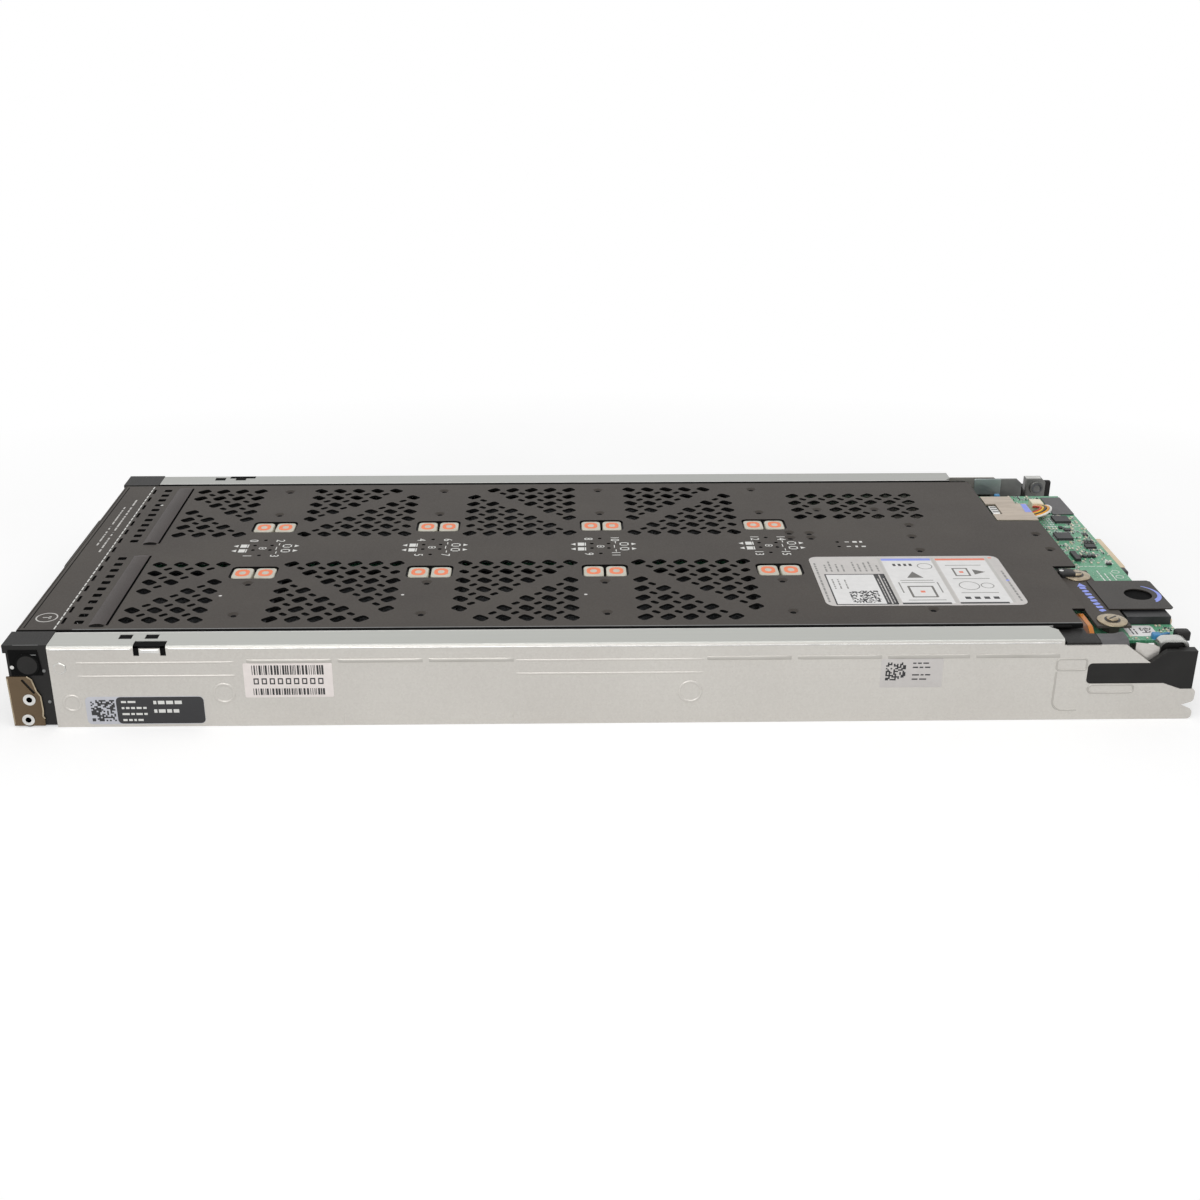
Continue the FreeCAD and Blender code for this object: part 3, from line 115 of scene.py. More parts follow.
def tones(tree, factor, first, second, start=0.3, end=0.7):
    """Two linear colours that run into each other between two values of a factor."""
    ramp = tree.nodes.new("ShaderNodeValToRGB")
    for stop, spot, colour in zip(ramp.color_ramp.elements, (start, end), (first, second)):
        stop.position = spot
        stop.color = colour
    tree.links.new(factor, ramp.inputs[0])
    return ramp.outputs["Color"]


def ranged(tree, factor, start, end, low=0.0, high=1.0):
    """Factor between two values mapped to a range."""
    feeds = {"Value": factor, "From Min": start, "From Max": end, "To Min": low, "To Max": high}
    return node(tree, "MapRange", feeds)["Result"]


def blended(tree, factor, first, second):
    """Two colours mixed by a factor."""
    return node(tree, "Mix", {"Factor": factor, 6: first, 7: second}, data_type="RGBA")[2]


def relief(tree, shader, height, depth):
    """Surface relief from a height, depth in millimetres."""
    bump = node(tree, "Bump", {"Height": height, "Distance": depth * MM})["Normal"]
    tree.links.new(bump, shader.inputs["Normal"])


def coating(name, dark, light, grain, rough, metal=0.0, depth=0.01, patch=60, stretch=(1, 1, 1), shine=0.5):
    """Two close tones in soft patches, with a fine grain in relief and roughness."""
    finish, tree, shader, place = blank(name, rough, metal, shine)
    drawn = stretched(tree, place, stretch)
    colour = tones(tree, mottle(tree, drawn, patch), tint(*dark), tint(*light))
    tree.links.new(colour, shader.inputs["Base Color"])
    fine = mottle(tree, drawn, grain, 2.0)
    tree.links.new(ranged(tree, fine, 0.3, 0.7, rough - 0.06, rough + 0.06), shader.inputs["Roughness"])
    relief(tree, shader, fine, depth)
    return finish


def zinc_plate(name, lip):
    """Galvanised sheet: soft stains, a fine grain and long rolling marks, with painted shade on the lips at the top,
    which take a darker tone.
    """
    rough = 0.38
    finish, tree, shader, place = blank(name, rough, 0.75)
    dark, light = tint(194, 190, 184), tint(208, 205, 199)
    rolled = mottle(tree, stretched(tree, place, (10, 600, 600)), 1.0, 4.0)
    grain = tones(tree, cells(tree, place, 1100)["Color"], dark, light, 0, 1)
    stain = tones(tree, mottle(tree, place, 11, 4.0), dark, light)
    sheet = blended(tree, rolled, stain, grain)
    # painted shade: the lips above the bend take a darker tone
    lip_shade = tones(tree, rolled, tint(*lip), tint(*(np.array(lip) + 6)))
    at_lip = ranged(tree, node(tree, "SeparateXYZ", {0: place})["Z"], 43.6 * MM, 44.6 * MM)
    tree.links.new(blended(tree, at_lip, sheet, lip_shade), shader.inputs["Base Color"])
    tree.links.new(ranged(tree, rolled, 0.3, 0.7, rough - 0.07, rough + 0.07), shader.inputs["Roughness"])
    relief(tree, shader, rolled, 0.008)
    return finish


def circuit_mask(name):
    """Green solder mask: paler copper runs under it, round pads and a fine weave."""
    finish, tree, shader, place = blank(name, 0.32)
    runs = node(tree, "TexBrick", {"Vector": place, "Scale": 160, "Mortar Size": 0.05, "Mortar": tint(118, 178, 146),
                                   "Color1": tint(62, 142, 102), "Color2": tint(84, 160, 122)})
    dots = tones(tree, cells(tree, place, 420)["Distance"], (1, 1, 1, 1), (0, 0, 0, 1), 0.1, 0.14)
    patches = tones(tree, mottle(tree, place, 90), tint(58, 138, 98), tint(100, 172, 132), 0.35, 0.65)
    some = mottle(tree, place, 55)
    ground = blended(tree, some, runs["Color"], patches)
    bright = tones(tree, some, tint(176, 202, 176), tint(214, 224, 204), 0, 1)
    tree.links.new(blended(tree, dots, ground, bright), shader.inputs["Base Color"])
    relief(tree, shader, runs["Fac"], 0.02)
    return finish


def striped(name, dark, light, pitch, rough):
    """Fine parallel runs side by side along x, pitch in millimetres."""
    finish, tree, shader, place = blank(name, rough)
    runs = node(tree, "TexWave", {"Vector": place, "Scale": math.pi / (10 * pitch * MM), "Distortion": 0.4})["Fac"]
    tree.links.new(tones(tree, runs, tint(*dark), tint(*light), 0.35, 0.65), shader.inputs["Base Color"])
    relief(tree, shader, runs, 0.03)
    return finish


def print_ink(name, rgb):
    """Printed ink or label stock: one colour with a faint fibre."""
    base = np.array(rgb, float)
    return coating(name, base * 0.98, np.minimum(base * 1.01, 255), 3000, 0.5, depth=0.002, patch=300)


# The lip tones are painted shade; the far wall's copy has a still darker lip.
ZINC = zinc_plate("zinc_sheet", (181, 182, 177))
FAR_ZINC_SHADED_LIP = zinc_plate("far_zinc_shaded_lip", (167, 168, 164))
SHADED_ZINC = coating("shaded_zinc", (138, 150, 150), (166, 174, 172), 500, 0.34, metal=0.6, patch=70)
DUSK_STEEL = coating("dusk_steel", (102, 103, 101), (126, 126, 124), 600, 0.46, metal=0.5)
# Painted shade: a darker copy of the zinc for the pressed beads, so that they read.
BEAD_ZINC_SHADED = coating("bead_zinc_painted_shade", (178, 175, 169), (188, 185, 179), 600, 0.36, metal=0.75, patch=40)
# Bright steel of the strap and pip collar; also a painted highlight on the far bracket's top.
STRAP_STEEL_AND_HIGHLIGHT = coating("strap_steel_and_highlight", (186, 186, 182), (206, 206, 202), 500, 0.26, metal=0.9, patch=120)
# Painted shade: a darker steel for the far bracket's front face.
BRACKET_STEEL_SHADED = coating("bracket_steel_painted_shade", (104, 104, 102), (130, 129, 126), 500, 0.36, metal=0.7)
BLACK_COAT = coating("black_powder_coat", (66, 61, 57), (72, 67, 62), 1700, 0.54, depth=0.012, patch=25, shine=0.2)
# Painted shade: a darker copy of the panel's coat for the louvre hoods.
LOUVRE_COAT_SHADED = coating("louvre_coat_painted_shade", (56, 50, 48), (66, 59, 57), 1700, 0.5, patch=40, shine=0.3)
BLACK_PLASTIC = coating("moulded_black", (27, 26, 25), (34, 33, 32), 1400, 0.5, depth=0.015, patch=80, shine=0.25)
# Painted shade: near-black steel for the bay frames under the vents and the rings round the latch eyelets.
DARK_SHADE_STEEL = coating("dark_steel_painted_shade", (22, 22, 23), (29, 29, 30), 900, 0.55, metal=0.3)
# Painted shade: near-black matt sheets put in openings, gaps, slots and hollows.
SHADE = coating("painted_shade_black", (14, 14, 14), (18, 18, 18), 900, 0.9, shine=0.1)
BRONZE = coating("bronze_plate", (94, 79, 61), (122, 104, 82), 900, 0.34, metal=0.8, patch=18)
# Polished steel of pins and eyelets; also painted highlights on the walls' bends and lips.
BRIGHT = coating("polished_steel_and_highlights", (196, 195, 192), (222, 221, 218), 500, 0.22, metal=1.0, depth=0.004, patch=120)
# Nickel of the washers; also painted highlights along the latch plate's edges.
NICKEL_AND_EDGE_HIGHLIGHT = coating("nickel_and_edge_highlights", (150, 137, 116), (184, 170, 146), 600, 0.3, metal=0.9, patch=250)
BUTTON = coating("button_grey", (192, 188, 172), (206, 202, 188), 1500, 0.38, depth=0.004, patch=120)
RING = print_ink("orange_ring", (246, 132, 88))
# The drives' dark tone is partly their own colour and partly painted shade, so that the vents over them read dark.
DRIVE_CASE_AND_SHADE = coating("drive_case", (24, 25, 27), (34, 35, 37), 600, 0.5, metal=0.3, stretch=(1, 8, 1), patch=70)
BOARD = circuit_mask("green_board")
# Black moulding of chips and parts; also painted shade in the eyelets' holes, the screws' slots and behind the port
# openings.
CHIP_BLACK_AND_SHADE = coating("chip_moulding_and_shade", (30, 30, 32), (42, 42, 44), 1800, 0.5, patch=200)
BEIGE = coating("beige_moulding", (214, 192, 160), (232, 212, 182), 900, 0.45, patch=120)
CREAM = coating("cream_moulding", (226, 214, 186), (240, 230, 206), 900, 0.38, patch=150)
TAN = coating("satin_nickel", (176, 163, 148), (196, 183, 168), 800, 0.42, metal=0.55, stretch=(1, 6, 1), patch=80)
FLEX = striped("orange_flex", (168, 88, 14), (222, 140, 36), 0.55, 0.28)
BROWN_FLEX = striped("brown_flex", (92, 52, 24), (130, 76, 34), 0.5, 0.3)
FILM = coating("black_film", (44, 40, 37), (52, 48, 44), 1300, 0.45, depth=0.006, patch=70, shine=0.3)
GREY_FILM = coating("grey_film", (74, 73, 74), (86, 85, 86), 1100, 0.5, depth=0.006, patch=70)
# Grey moulding; also painted highlights on the panel's near edge and the front corner block.
GREY_MOULDING_AND_HIGHLIGHT = coating("grey_moulding_and_highlights", (108, 109, 109), (124, 125, 124), 1200, 0.42, patch=90)
SINK = coating("sink_aluminium", (84, 85, 87), (104, 105, 107), 900, 0.4, metal=0.8, stretch=(6, 1, 1), patch=80)
SOLDER = coating("tinned_leads", (196, 198, 200), (218, 219, 220), 900, 0.3, metal=0.9, patch=200)
CERAMIC = coating("part_ceramic", (204, 184, 152), (246, 242, 230), 1500, 0.45, patch=500)
WHITE_INK = print_ink("white_print", (226, 226, 222))
PALE_INK = print_ink("pale_print", (196, 194, 190))
GREY_INK = print_ink("grey_print", (140, 139, 136))
STONE_INK = print_ink("stone_print", (104, 102, 98))
BLACK_INK = print_ink("black_print", (38, 38, 40))
PAPER = print_ink("label_stock", (206, 202, 199))
WHITE_FIELD = print_ink("label_white_field", (232, 231, 230))
PINK_PAPER = print_ink("warm_label_stock", (236, 228, 224))
SILVER_PAPER = print_ink("silver_label_stock", (196, 197, 204))
BLUE_INK = print_ink("blue_print", (146, 160, 240))
RED_INK = print_ink("red_print", (236, 128, 100))
BLUE_PLASTIC = coating("blue_moulding", (44, 110, 160), (66, 140, 190), 900, 0.35, patch=120)
LEAD_SLEEVES = [coating(f"{name}_sleeve", np.array(rgb) * 0.9, rgb, 1200, 0.35, patch=200)
                for name, rgb in (("red", (204, 58, 36)), ("yellow", (246, 196, 44)), ("black", (34, 34, 36)),
                                  ("amber", (240, 168, 36)), ("white", (234, 232, 226)))]


# Shapes

def table(*columns):
    """Columns side by side; a single value is repeated down its column."""
    return np.stack(np.broadcast_arrays(*columns), -1)


def unit(angle):
    """Flat unit vectors at angles in radians."""
    return table(np.cos(angle), np.sin(angle))


def eased_step(share):
    """Smooth step from 0 to 1: three squares less two cubes of the share."""
    share = np.clip(share, 0, 1)
    return share * share * (3 - 2 * share)


def linked(name, data):
    """Object put in the scene."""
    thing = bpy.data.objects.new(name, data)
    bpy.context.collection.objects.link(thing)
    return thing


def joined(shapes):
    """Several shapes as one."""
    starts = np.cumsum([0] + [len(points) for points, _ in shapes])
    faces = [[int(i + start) for i in face] for start, (_, group) in zip(starts, shapes) for face in group]
    return np.concatenate([points for points, _ in shapes]), faces


def piece(name, shape, body, finish, crease=None, hides=()):
    """Object at the origin from points in millimetres, its faces turned outwards.

    The shape is a pair of points and faces or a list of such pairs. Edges flatter than the crease angle, in
    degrees, are shaded smooth. hides names the nodes it stands for.
    """
    points, faces = joined(shape) if isinstance(shape, list) else shape
    mesh = bpy.data.meshes.new(name)
    mesh.from_pydata((points * MM).tolist(), [], faces)
    work = bmesh.new()
    work.from_mesh(mesh)
    bmesh.ops.recalc_face_normals(work, faces=work.faces)
    work.to_mesh(mesh)
    work.free()
    mesh.materials.append(finish)
    if crease:
        mesh.polygons.foreach_set("use_smooth", np.ones(len(mesh.polygons), bool))
        mesh.set_sharp_from_angle(angle=math.radians(crease))
    thing = linked(name, mesh)
    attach(thing, body)
    if hides:
        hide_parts(*hides)
    return thing


def darkened(thing, limit):
    """Paints shade: gives the matt black of painted shade to the faces of a piece whose normal rises by less than a
    limit.
    """
    lean = np.empty(len(thing.data.polygons) * 3)
    thing.data.polygons.foreach_get("normal", lean)
    thing.data.materials.append(SHADE)
    thing.data.polygons.foreach_set("material_index", (lean[2::3] < limit).astype(np.int32))


def loft(rings):
    """Skin over closed rings of equal count, one after another, with flat ends."""
    rings = np.asarray(rings, float)
    count, around = rings.shape[:2]
    here = np.arange(count - 1)[:, None] * around
    step = np.arange(around)
    after = (step + 1) % around
    quads = np.stack([here + step, here + after, here + around + after, here + around + step], -1)
    ends = [list(range(around))[::-1], list(range((count - 1) * around, count * around))]
    return rings.reshape(-1, 3), quads.reshape(-1, 4).tolist() + ends


def laid(flat, level, facing="z"):
    """Points from flat coordinates and a level along an axis: x and y for z, x and z for y, y and z for x."""
    u, v = np.moveaxis(np.asarray(flat, float), -1, 0)
    return table(*{"z": (u, v, level), "y": (u, level, v), "x": (level, u, v)}[facing])


def rounded(length, width, radius, steps=5):
    """Outline of a rectangle about the origin: straight sides joined by quarter circles at its corners."""
    quadrant = np.repeat(np.arange(4), steps)
    angle = np.tile(np.linspace(0, np.pi / 2, steps), 4) + quadrant * np.pi / 2
    corner = np.array([(1, 1), (-1, 1), (-1, -1), (1, -1)])[quadrant]
    return corner * (length / 2 - radius, width / 2 - radius) + radius * unit(angle)


def slots(rows, radius):
    """Outlines of turned rectangles with round corners; a row holds x, y, long side, short side and turn."""
    x, y, long_side, short_side, turn = np.moveaxis(np.asarray(rows, float), -1, 0)[..., None]
    corner = rounded(2, 2, 0.5, 4)
    swing = (corner - np.sign(corner) * 0.5) * 2 * radius
    u = np.sign(corner[:, 0]) * (long_side / 2 - radius) + swing[:, 0]
    v = np.sign(corner[:, 1]) * (short_side / 2 - radius) + swing[:, 1]
    cos, sin = np.cos(np.radians(turn)), np.sin(np.radians(turn))
    return table(x + u * cos - v * sin, y + u * sin + v * cos)


def circles(spots, radius, count=28):
    """Round outline about a spot, or about each of several."""
    return np.asarray(spots, float)[..., None, :] + radius * unit(np.arange(count) * 2 * np.pi / count)


def pierced(outline, holes, high, low, facing="z"):
    """Sheet between two levels: the outline is triangulated once, triangles with all corners on one hole are
    left out, and the rest is copied to both faces and walled along every rim. Holes bulge outwards all round."""
    loops = [np.asarray(loop, float) for loop in (outline, *holes)]
    sizes = [len(loop) for loop in loops]
    starts = np.cumsum([0] + sizes[:-1])
    edges = np.concatenate([start + table(np.arange(n), (np.arange(n) + 1) % n) for start, n in zip(starts, sizes)])
    corners, _, triangles, *_ = delaunay_2d_cdt(np.concatenate(loops).tolist(), edges.tolist(), [], 1, 1e-7)
    corners = np.array([tuple(corner) for corner in corners])
    owners = np.repeat(np.arange(len(loops)), sizes)[np.array(triangles)]
    filled = (owners.min(1) == owners.max(1)) & (owners[:, 0] > 0)
    triangles = np.array(triangles)[~filled]
    count = len(corners)
    sides = np.concatenate([triangles[:, [0, 1]], triangles[:, [1, 2]], triangles[:, [2, 0]]])
    lone = ~np.isin(sides[:, 0] * count + sides[:, 1], sides[:, 1] * count + sides[:, 0])
    first, second = sides[lone].T
    walls = table(first, first + count, second + count, second)
    points = np.concatenate([laid(corners, high, facing), laid(corners, low, facing)])
    return points, triangles.tolist() + (triangles[:, ::-1] + count).tolist() + walls.tolist()


def framed(outline, share, low, high):
    """Band between an outline and a smaller copy of it about the same middle."""
    middle = outline.mean(0)
    return pierced(outline, [middle + (outline - middle) * share], high, low)


def slab(outline, low, high, edge, facing="z"):
    """Outline raised between two levels with its upper edge rounded off by a quarter ellipse."""
    outline = np.asarray(outline, float)
    middle = outline.mean(0)
    reach = np.abs(outline - middle).max(0)
    turn = np.linspace(0, np.pi / 2, 4)
    levels = [low, *(high - np.sign(high - low) * edge * (1 - np.sin(turn)))]
    insets = [0, *(edge * (1 - np.cos(turn)))]
    return loft([laid(middle + (outline - middle) * (1 - inset / reach), level, facing)
                 for inset, level in zip(insets, levels)])


def sheet_of(outline, low, high, facing="z"):
    """Flat outline carried straight between two levels."""
    return loft([laid(outline, low, facing), laid(outline, high, facing)])


def strip(path, x0, x1, gauge):
    """Ribbon between two x along a path of y and z points, its thickness across the path."""
    ahead = np.gradient(path, axis=0)
    across = table(-ahead[:, 1], ahead[:, 0]) / np.linalg.norm(ahead, axis=1, keepdims=True) * gauge / 2
    corners = ((path - across, x0), (path - across, x1), (path + across, x1), (path + across, x0))
    return loft(np.stack([laid(edge, x, "x") for edge, x in corners], 1))


def spun(profile, centre, axis, count=28):
    """Profile of radius and height pairs turned about an axis through a centre, whose z may be left out."""
    centre = np.array((*centre, 0)[:3], float)
    along = np.eye(3)["xyz".index(axis)]
    angle = np.arange(count)[:, None] * 2 * np.pi / count
    circle = np.cos(angle) * np.roll(along, 1) + np.sin(angle) * np.roll(along, 2)
    return loft([centre + height * along + radius * circle for radius, height in profile])


def turned(profile, places, axis, count=28):
    """One profile turned at several places."""
    return joined([spun(profile, place, axis, count) for place in places])


def blocks(rows):
    """Boxes from rows of low and high x, y and z."""
    rows = np.asarray(rows, float).reshape(-1, 6)
    corner = np.array([[0, 2, 4], [1, 2, 4], [1, 3, 4], [0, 3, 4], [0, 2, 5], [1, 2, 5], [1, 3, 5], [0, 3, 5]])
    skin = np.array([[0, 3, 2, 1], [4, 5, 6, 7], [0, 1, 5, 4], [1, 2, 6, 5], [2, 3, 7, 6], [3, 0, 4, 7]])
    faces = np.arange(len(rows))[:, None, None] * 8 + skin
    return rows[:, corner].reshape(-1, 3), faces.reshape(-1, 4).tolist()


def boxes_at(rows, low, high):
    """Boxes between two levels; a row holds the middle's x and y and the sizes along them."""
    x, y, wide, deep = np.asarray(rows, float).reshape(-1, 4).T
    return blocks(table(x - wide / 2, x + wide / 2, y - deep / 2, y + deep / 2, low, high))


def ridge(path, width, height, face, closed=False):
    """Half-round ridge pressed out of an upright face along a flat path of x and z points."""
    path = np.asarray(path, float)
    ahead = (np.roll(path, -1, 0) - np.roll(path, 1, 0)) if closed else np.gradient(path, axis=0)
    ahead /= np.linalg.norm(ahead, axis=1, keepdims=True)
    aside = table(-ahead[:, 1], ahead[:, 0])
    turn = np.linspace(0, np.pi, 7)
    flat = path[:, None] + aside[:, None] * (np.cos(turn) * width / 2)[:, None]
    taper = np.ones((len(path), 1))
    if not closed:
        taper[[0, -1]] = 0.05
    rings = laid(flat, face + np.sign(face) * (height * taper * np.sin(turn) - 0.02), "y")
    return loft(np.concatenate([rings, rings[:1]]) if closed else rings)


def numerals(rows, size, turn, level):
    """Plain figures as thin solids: rows hold the figure and its flat place."""
    shapes = []
    for text, x, y in rows:
        outline = bpy.data.curves.new("figure", "FONT")
        outline.body = text
        outline.size = size * MM
        outline.align_x = "CENTER"
        outline.align_y = "CENTER"
        outline.extrude = 0.015 * MM
        holder = linked("figure", outline)
        bpy.context.view_layer.update()
        mesh = bpy.data.meshes.new_from_object(holder.evaluated_get(bpy.context.evaluated_depsgraph_get()))
        mesh.transform(Matrix.Translation((x * MM, y * MM, level * MM)) @ Matrix.Rotation(turn, 4, "Z"))
        points = np.empty(len(mesh.vertices) * 3)
        mesh.vertices.foreach_get("co", points)
        shapes.append((points.reshape(-1, 3) / MM, [list(face.vertices) for face in mesh.polygons]))
        bpy.data.objects.remove(holder)
        bpy.data.meshes.remove(mesh)
    return joined(shapes)


def fitting(name, outline, low, high, edge, finish, facing="z"):
    """Block on the sled with a rounded edge."""
    piece(name, slab(outline, low, high, edge, facing), "sled", finish, 40)


def painted(finish, *names):
    """Gives a finish to nodes that keep their own shape."""
    for name in names:
        for holder in NODES[name].material_slots:
            holder.material = finish


# Top panel of the drawer

def vent_rows():
    """Large and small vents over each bay: a grid of rows and places less a bare diagonal, the small ones
    half a pitch on and turned across the large ones."""
    column, side, row, place = np.meshgrid(np.arange(4), SIDES, np.arange(7), np.arange(6), indexing="ij")
    even = column % 2 == 0
    clear = (column == 0) & (place < 2)
    row_pitch = 12.1
    x = COLUMNS[column] + (place - 2.5) * VENT_PITCH
    y = side * (22.4 + row_pitch * row)
    turn = VENT_TURN * side * np.where(even, 1, -1)
    beside = (row == 1) & np.where(even, (place == 0) & (column > 0), place == 5)
    scale = np.where(beside, 0.72, 1.0)
    large = table(x, y, LARGE_VENT[0] * scale, LARGE_VENT[1] * scale, turn)
    gap = (row > 0) & (place == np.where(even, 5 - row, row - 1))
    small = table(x + VENT_PITCH / 2, y + side * row_pitch / 2, *SMALL_VENT, -turn)
    return (large[(place != np.where(even, 6 - row, row - 1)) & ~clear],
            small[(place < 5) & (row < 6) & ~gap & ~clear])


def rear_vent_rows():
    """Vents over the far heat sink, two left out where screws sit."""
    row, place = np.meshgrid(np.arange(4), np.arange(7), indexing="ij")
    row_pitch = 11.95
    x = 121.5 + place * VENT_PITCH
    y = 46 + row * row_pitch
    screw = np.isin(place, (1, 4))
    large = table(x, y, *LARGE_VENT, VENT_TURN)
    small = table(x + VENT_PITCH / 2, y + row_pitch / 2, *SMALL_VENT, -VENT_TURN)
    return large[~(screw & (row == 1))], small[(place < 6) & (row < 3) & ~(screw & (row < 2))]


DIMPLES = [(x - 0.5, y) for x in BUTTON_COLUMNS for y in (94, 54, -49, -89.2)] + [
    (111.1, 20.5), (110.6, 12.5), (122.6, 19.5), (122.6, 12.5), (183.4, 31.5), (181.4, 13.5), (181.4, -7.4),
    (254.1, 16), (255.6, -7), (170.4, -88.2), (133.15, 57.95), (168.1, 57.95)]


def screw_dimples():
    """Round cup in the panel at each screw, turned from a smooth profile, with a disc of painted shade at its foot
    for the screw's hole.
    """
    slope = np.linspace(0, 1, 6)
    cup = [(AXIS, 43.7), (3.45, 43.7), (3.45, 44.98),
           *zip(3.3 - 1.7 * slope, PANEL_TOP - 0.95 * eased_step(slope)), (AXIS, 44.03)]
    piece("panel_dimples", turned(cup, DIMPLES, "z", 24), "drawer", BLACK_COAT, 45)
    # painted shade in the screw's hole
    eye = [(AXIS, 43.9), (1.45, 43.9), (1.45, 44.2), (0.9, 44.35), (AXIS, 44.3)]
    piece("dimple_hole_shades", turned(eye, DIMPLES, "z", 14), "drawer", SHADE, 40)


def lamp_spots():
    """Lamp holes round the middle of each button column, and two behind the last one."""
    offsets = np.array([(0, 11.3), (0, -11.3), (4.8, 3.4), (4.8, -3.4), (-4.8, 3.4), (-4.8, -3.4)])
    return np.concatenate([offsets + (x - 1.6, 1.8) for x in BUTTON_COLUMNS] + [[(136.5, 5.5), (136.5, -1.4)]])


def drawer_panel():
    """Perforated sheet with a stepped rear edge, its two long edges rolled over separately, and a pale strip of
    painted highlight along the near one; the vents' walls, the sheet's underside and the edges' sides get painted
    shade."""
    near_rear, far_rear = PANEL_REAR.values()
    outline = [(PANEL_FRONT, -PANEL_SIDE), (near_rear, -PANEL_SIDE), (near_rear, -88.2), (249.2, -88.2),
               (249.2, -32), (262.1, -32), (262.1, 37.4), (far_rear, 37.4), (far_rear, PANEL_SIDE),
               (PANEL_FRONT, PANEL_SIDE)]
    large, small = (np.concatenate(pair) for pair in zip(vent_rows(), rear_vent_rows()))
    intake_row = 13 + 8.4 * np.arange(11)
    intakes = table(-267.0, np.concatenate([-intake_row, intake_row]), 4.6, 4.0, 0)
    hem = table(-275.1, np.arange(-95, 100, 13.6), 1.5, 7.5, 0)
    louvres = [(-252, s * 55, 1.3, 92, 0) for s in SIDES]
    windows = [(x, s * BUTTON_ROW, 25.6, 16.6, 0) for x in BUTTON_COLUMNS for s in SIDES]
    holes = [*slots(large, 1.7), *slots(small, 1.1), *slots(intakes, 0.7), *slots(hem, 0.5), *slots(louvres, 0.5),
             *slots(windows, 3.0), *circles(lamp_spots(), 1.1, 14), *circles(DIMPLES, 3.4, 24)]
    sheet = piece("panel_sheet", pierced(outline, holes, PANEL_TOP, PANEL_TOP - 1.2), "drawer", BLACK_COAT,
                  35, hides=["drawer_panel"])
    # painted shade on the vents' walls and the sheet's underside
    darkened(sheet, 0.5)
    turn = np.linspace(0, np.pi / 2, 6)
    section = np.array([(-0.3, 0), *table(np.sin(turn), np.cos(turn) - 1), (1, -2.2), (0.2, -2.2), (0.2, -1.1),
                        (-0.3, -1.1)])
    for side, (name, rear) in zip(SIDES, PANEL_REAR.items()):
        edge = laid(section * (side, 1) + (side * PANEL_SIDE, PANEL_TOP), 0, "x")
        roll = loft([edge + (x, 0, 0) for x in (PANEL_FRONT, rear)])
        # painted shade on the rolled edges' sides, so that the gaps beside the lips read dark
        darkened(piece(f"panel_{name}_edge", roll, "drawer", BLACK_PLASTIC, 40), 0.995)
    # painted highlight: a pale strip along the panel's near edge
    glint = [(-268, 242, -105.95, -105.2, PANEL_TOP - 0.02, PANEL_TOP + 0.03)]
    piece("panel_edge_highlight", blocks(glint), "drawer", GREY_MOULDING_AND_HIGHLIGHT)


def louvre_hoods():
    """Long half-round hood beside each louvre slot, in a darker copy of the panel's coat for painted shade: an arch
    carried across the sled, closed at the far end, with painted shade at the near one: a matt black sheet in its
    mouth and a dark patch on the panel before it."""
    share = np.linspace(0, 1, 13)
    arch = np.sin(share * np.pi) ** 0.7 * (0.85 + 0.15 * share)
    along = np.concatenate([[0, 0.4], np.linspace(2, 88, 14), np.linspace(88.5, 92, 6)])
    heights = 0.98 * np.clip((92 - along) / 3, 0.03, 1) ** 0.5
    x = -261.15 + 8.5 * share
    foot = PANEL_TOP - 0.05
    mouths = []
    for name, start in (("near", -101), ("far", 9)):
        rings = [[*table(x, y, PANEL_TOP + height * arch), (x[-1], y, foot), (x[0], y, foot)]
                 for y, height in zip(start + along, heights)]
        piece(f"{name}_louvre_hood", loft(rings), "drawer", LOUVRE_COAT_SHADED, 50)
        lens = table(x[0] + 0.6 + 7.3 * share, PANEL_TOP + 0.82 * arch)
        # painted shade: a matt black sheet in the near mouth and a dark patch on the panel before it
        mouths += [sheet_of(lens, start, start - 0.05, "y"),
                   sheet_of(slots((-256.9, start - 1.1, 7.6, 1.7, 0), 0.8), PANEL_TOP, PANEL_TOP + INK)]
    piece("louvre_mouth_shades", mouths, "drawer", SHADE)


def drive_buttons():
    """Sixteen buttons: a crowned pad with round corners, and a ring of colour on its face."""
    for number in range(16):
        column, offset = divmod(number, 4)
        middle = (BUTTON_COLUMNS[column] + (6.25 if offset > 1 else -6.25), 0.2 + BUTTON_ROW * (-1) ** offset)
        pad = slab(rounded(11.1, 13.7, 2.2) + middle, 38.6, 44.7, 0.7)
        piece(f"button_pad_{number:02d}", pad, f"button_{number:02d}", BUTTON, 40,
              hides=[f"drive_button_{number:02d}"])
        ring = framed(rounded(7.6, 9.4, 3.4, 6) + middle, 0.48, 44.68, 44.74)
        piece(f"button_ring_{number:02d}", ring, f"button_{number:02d}", RING)


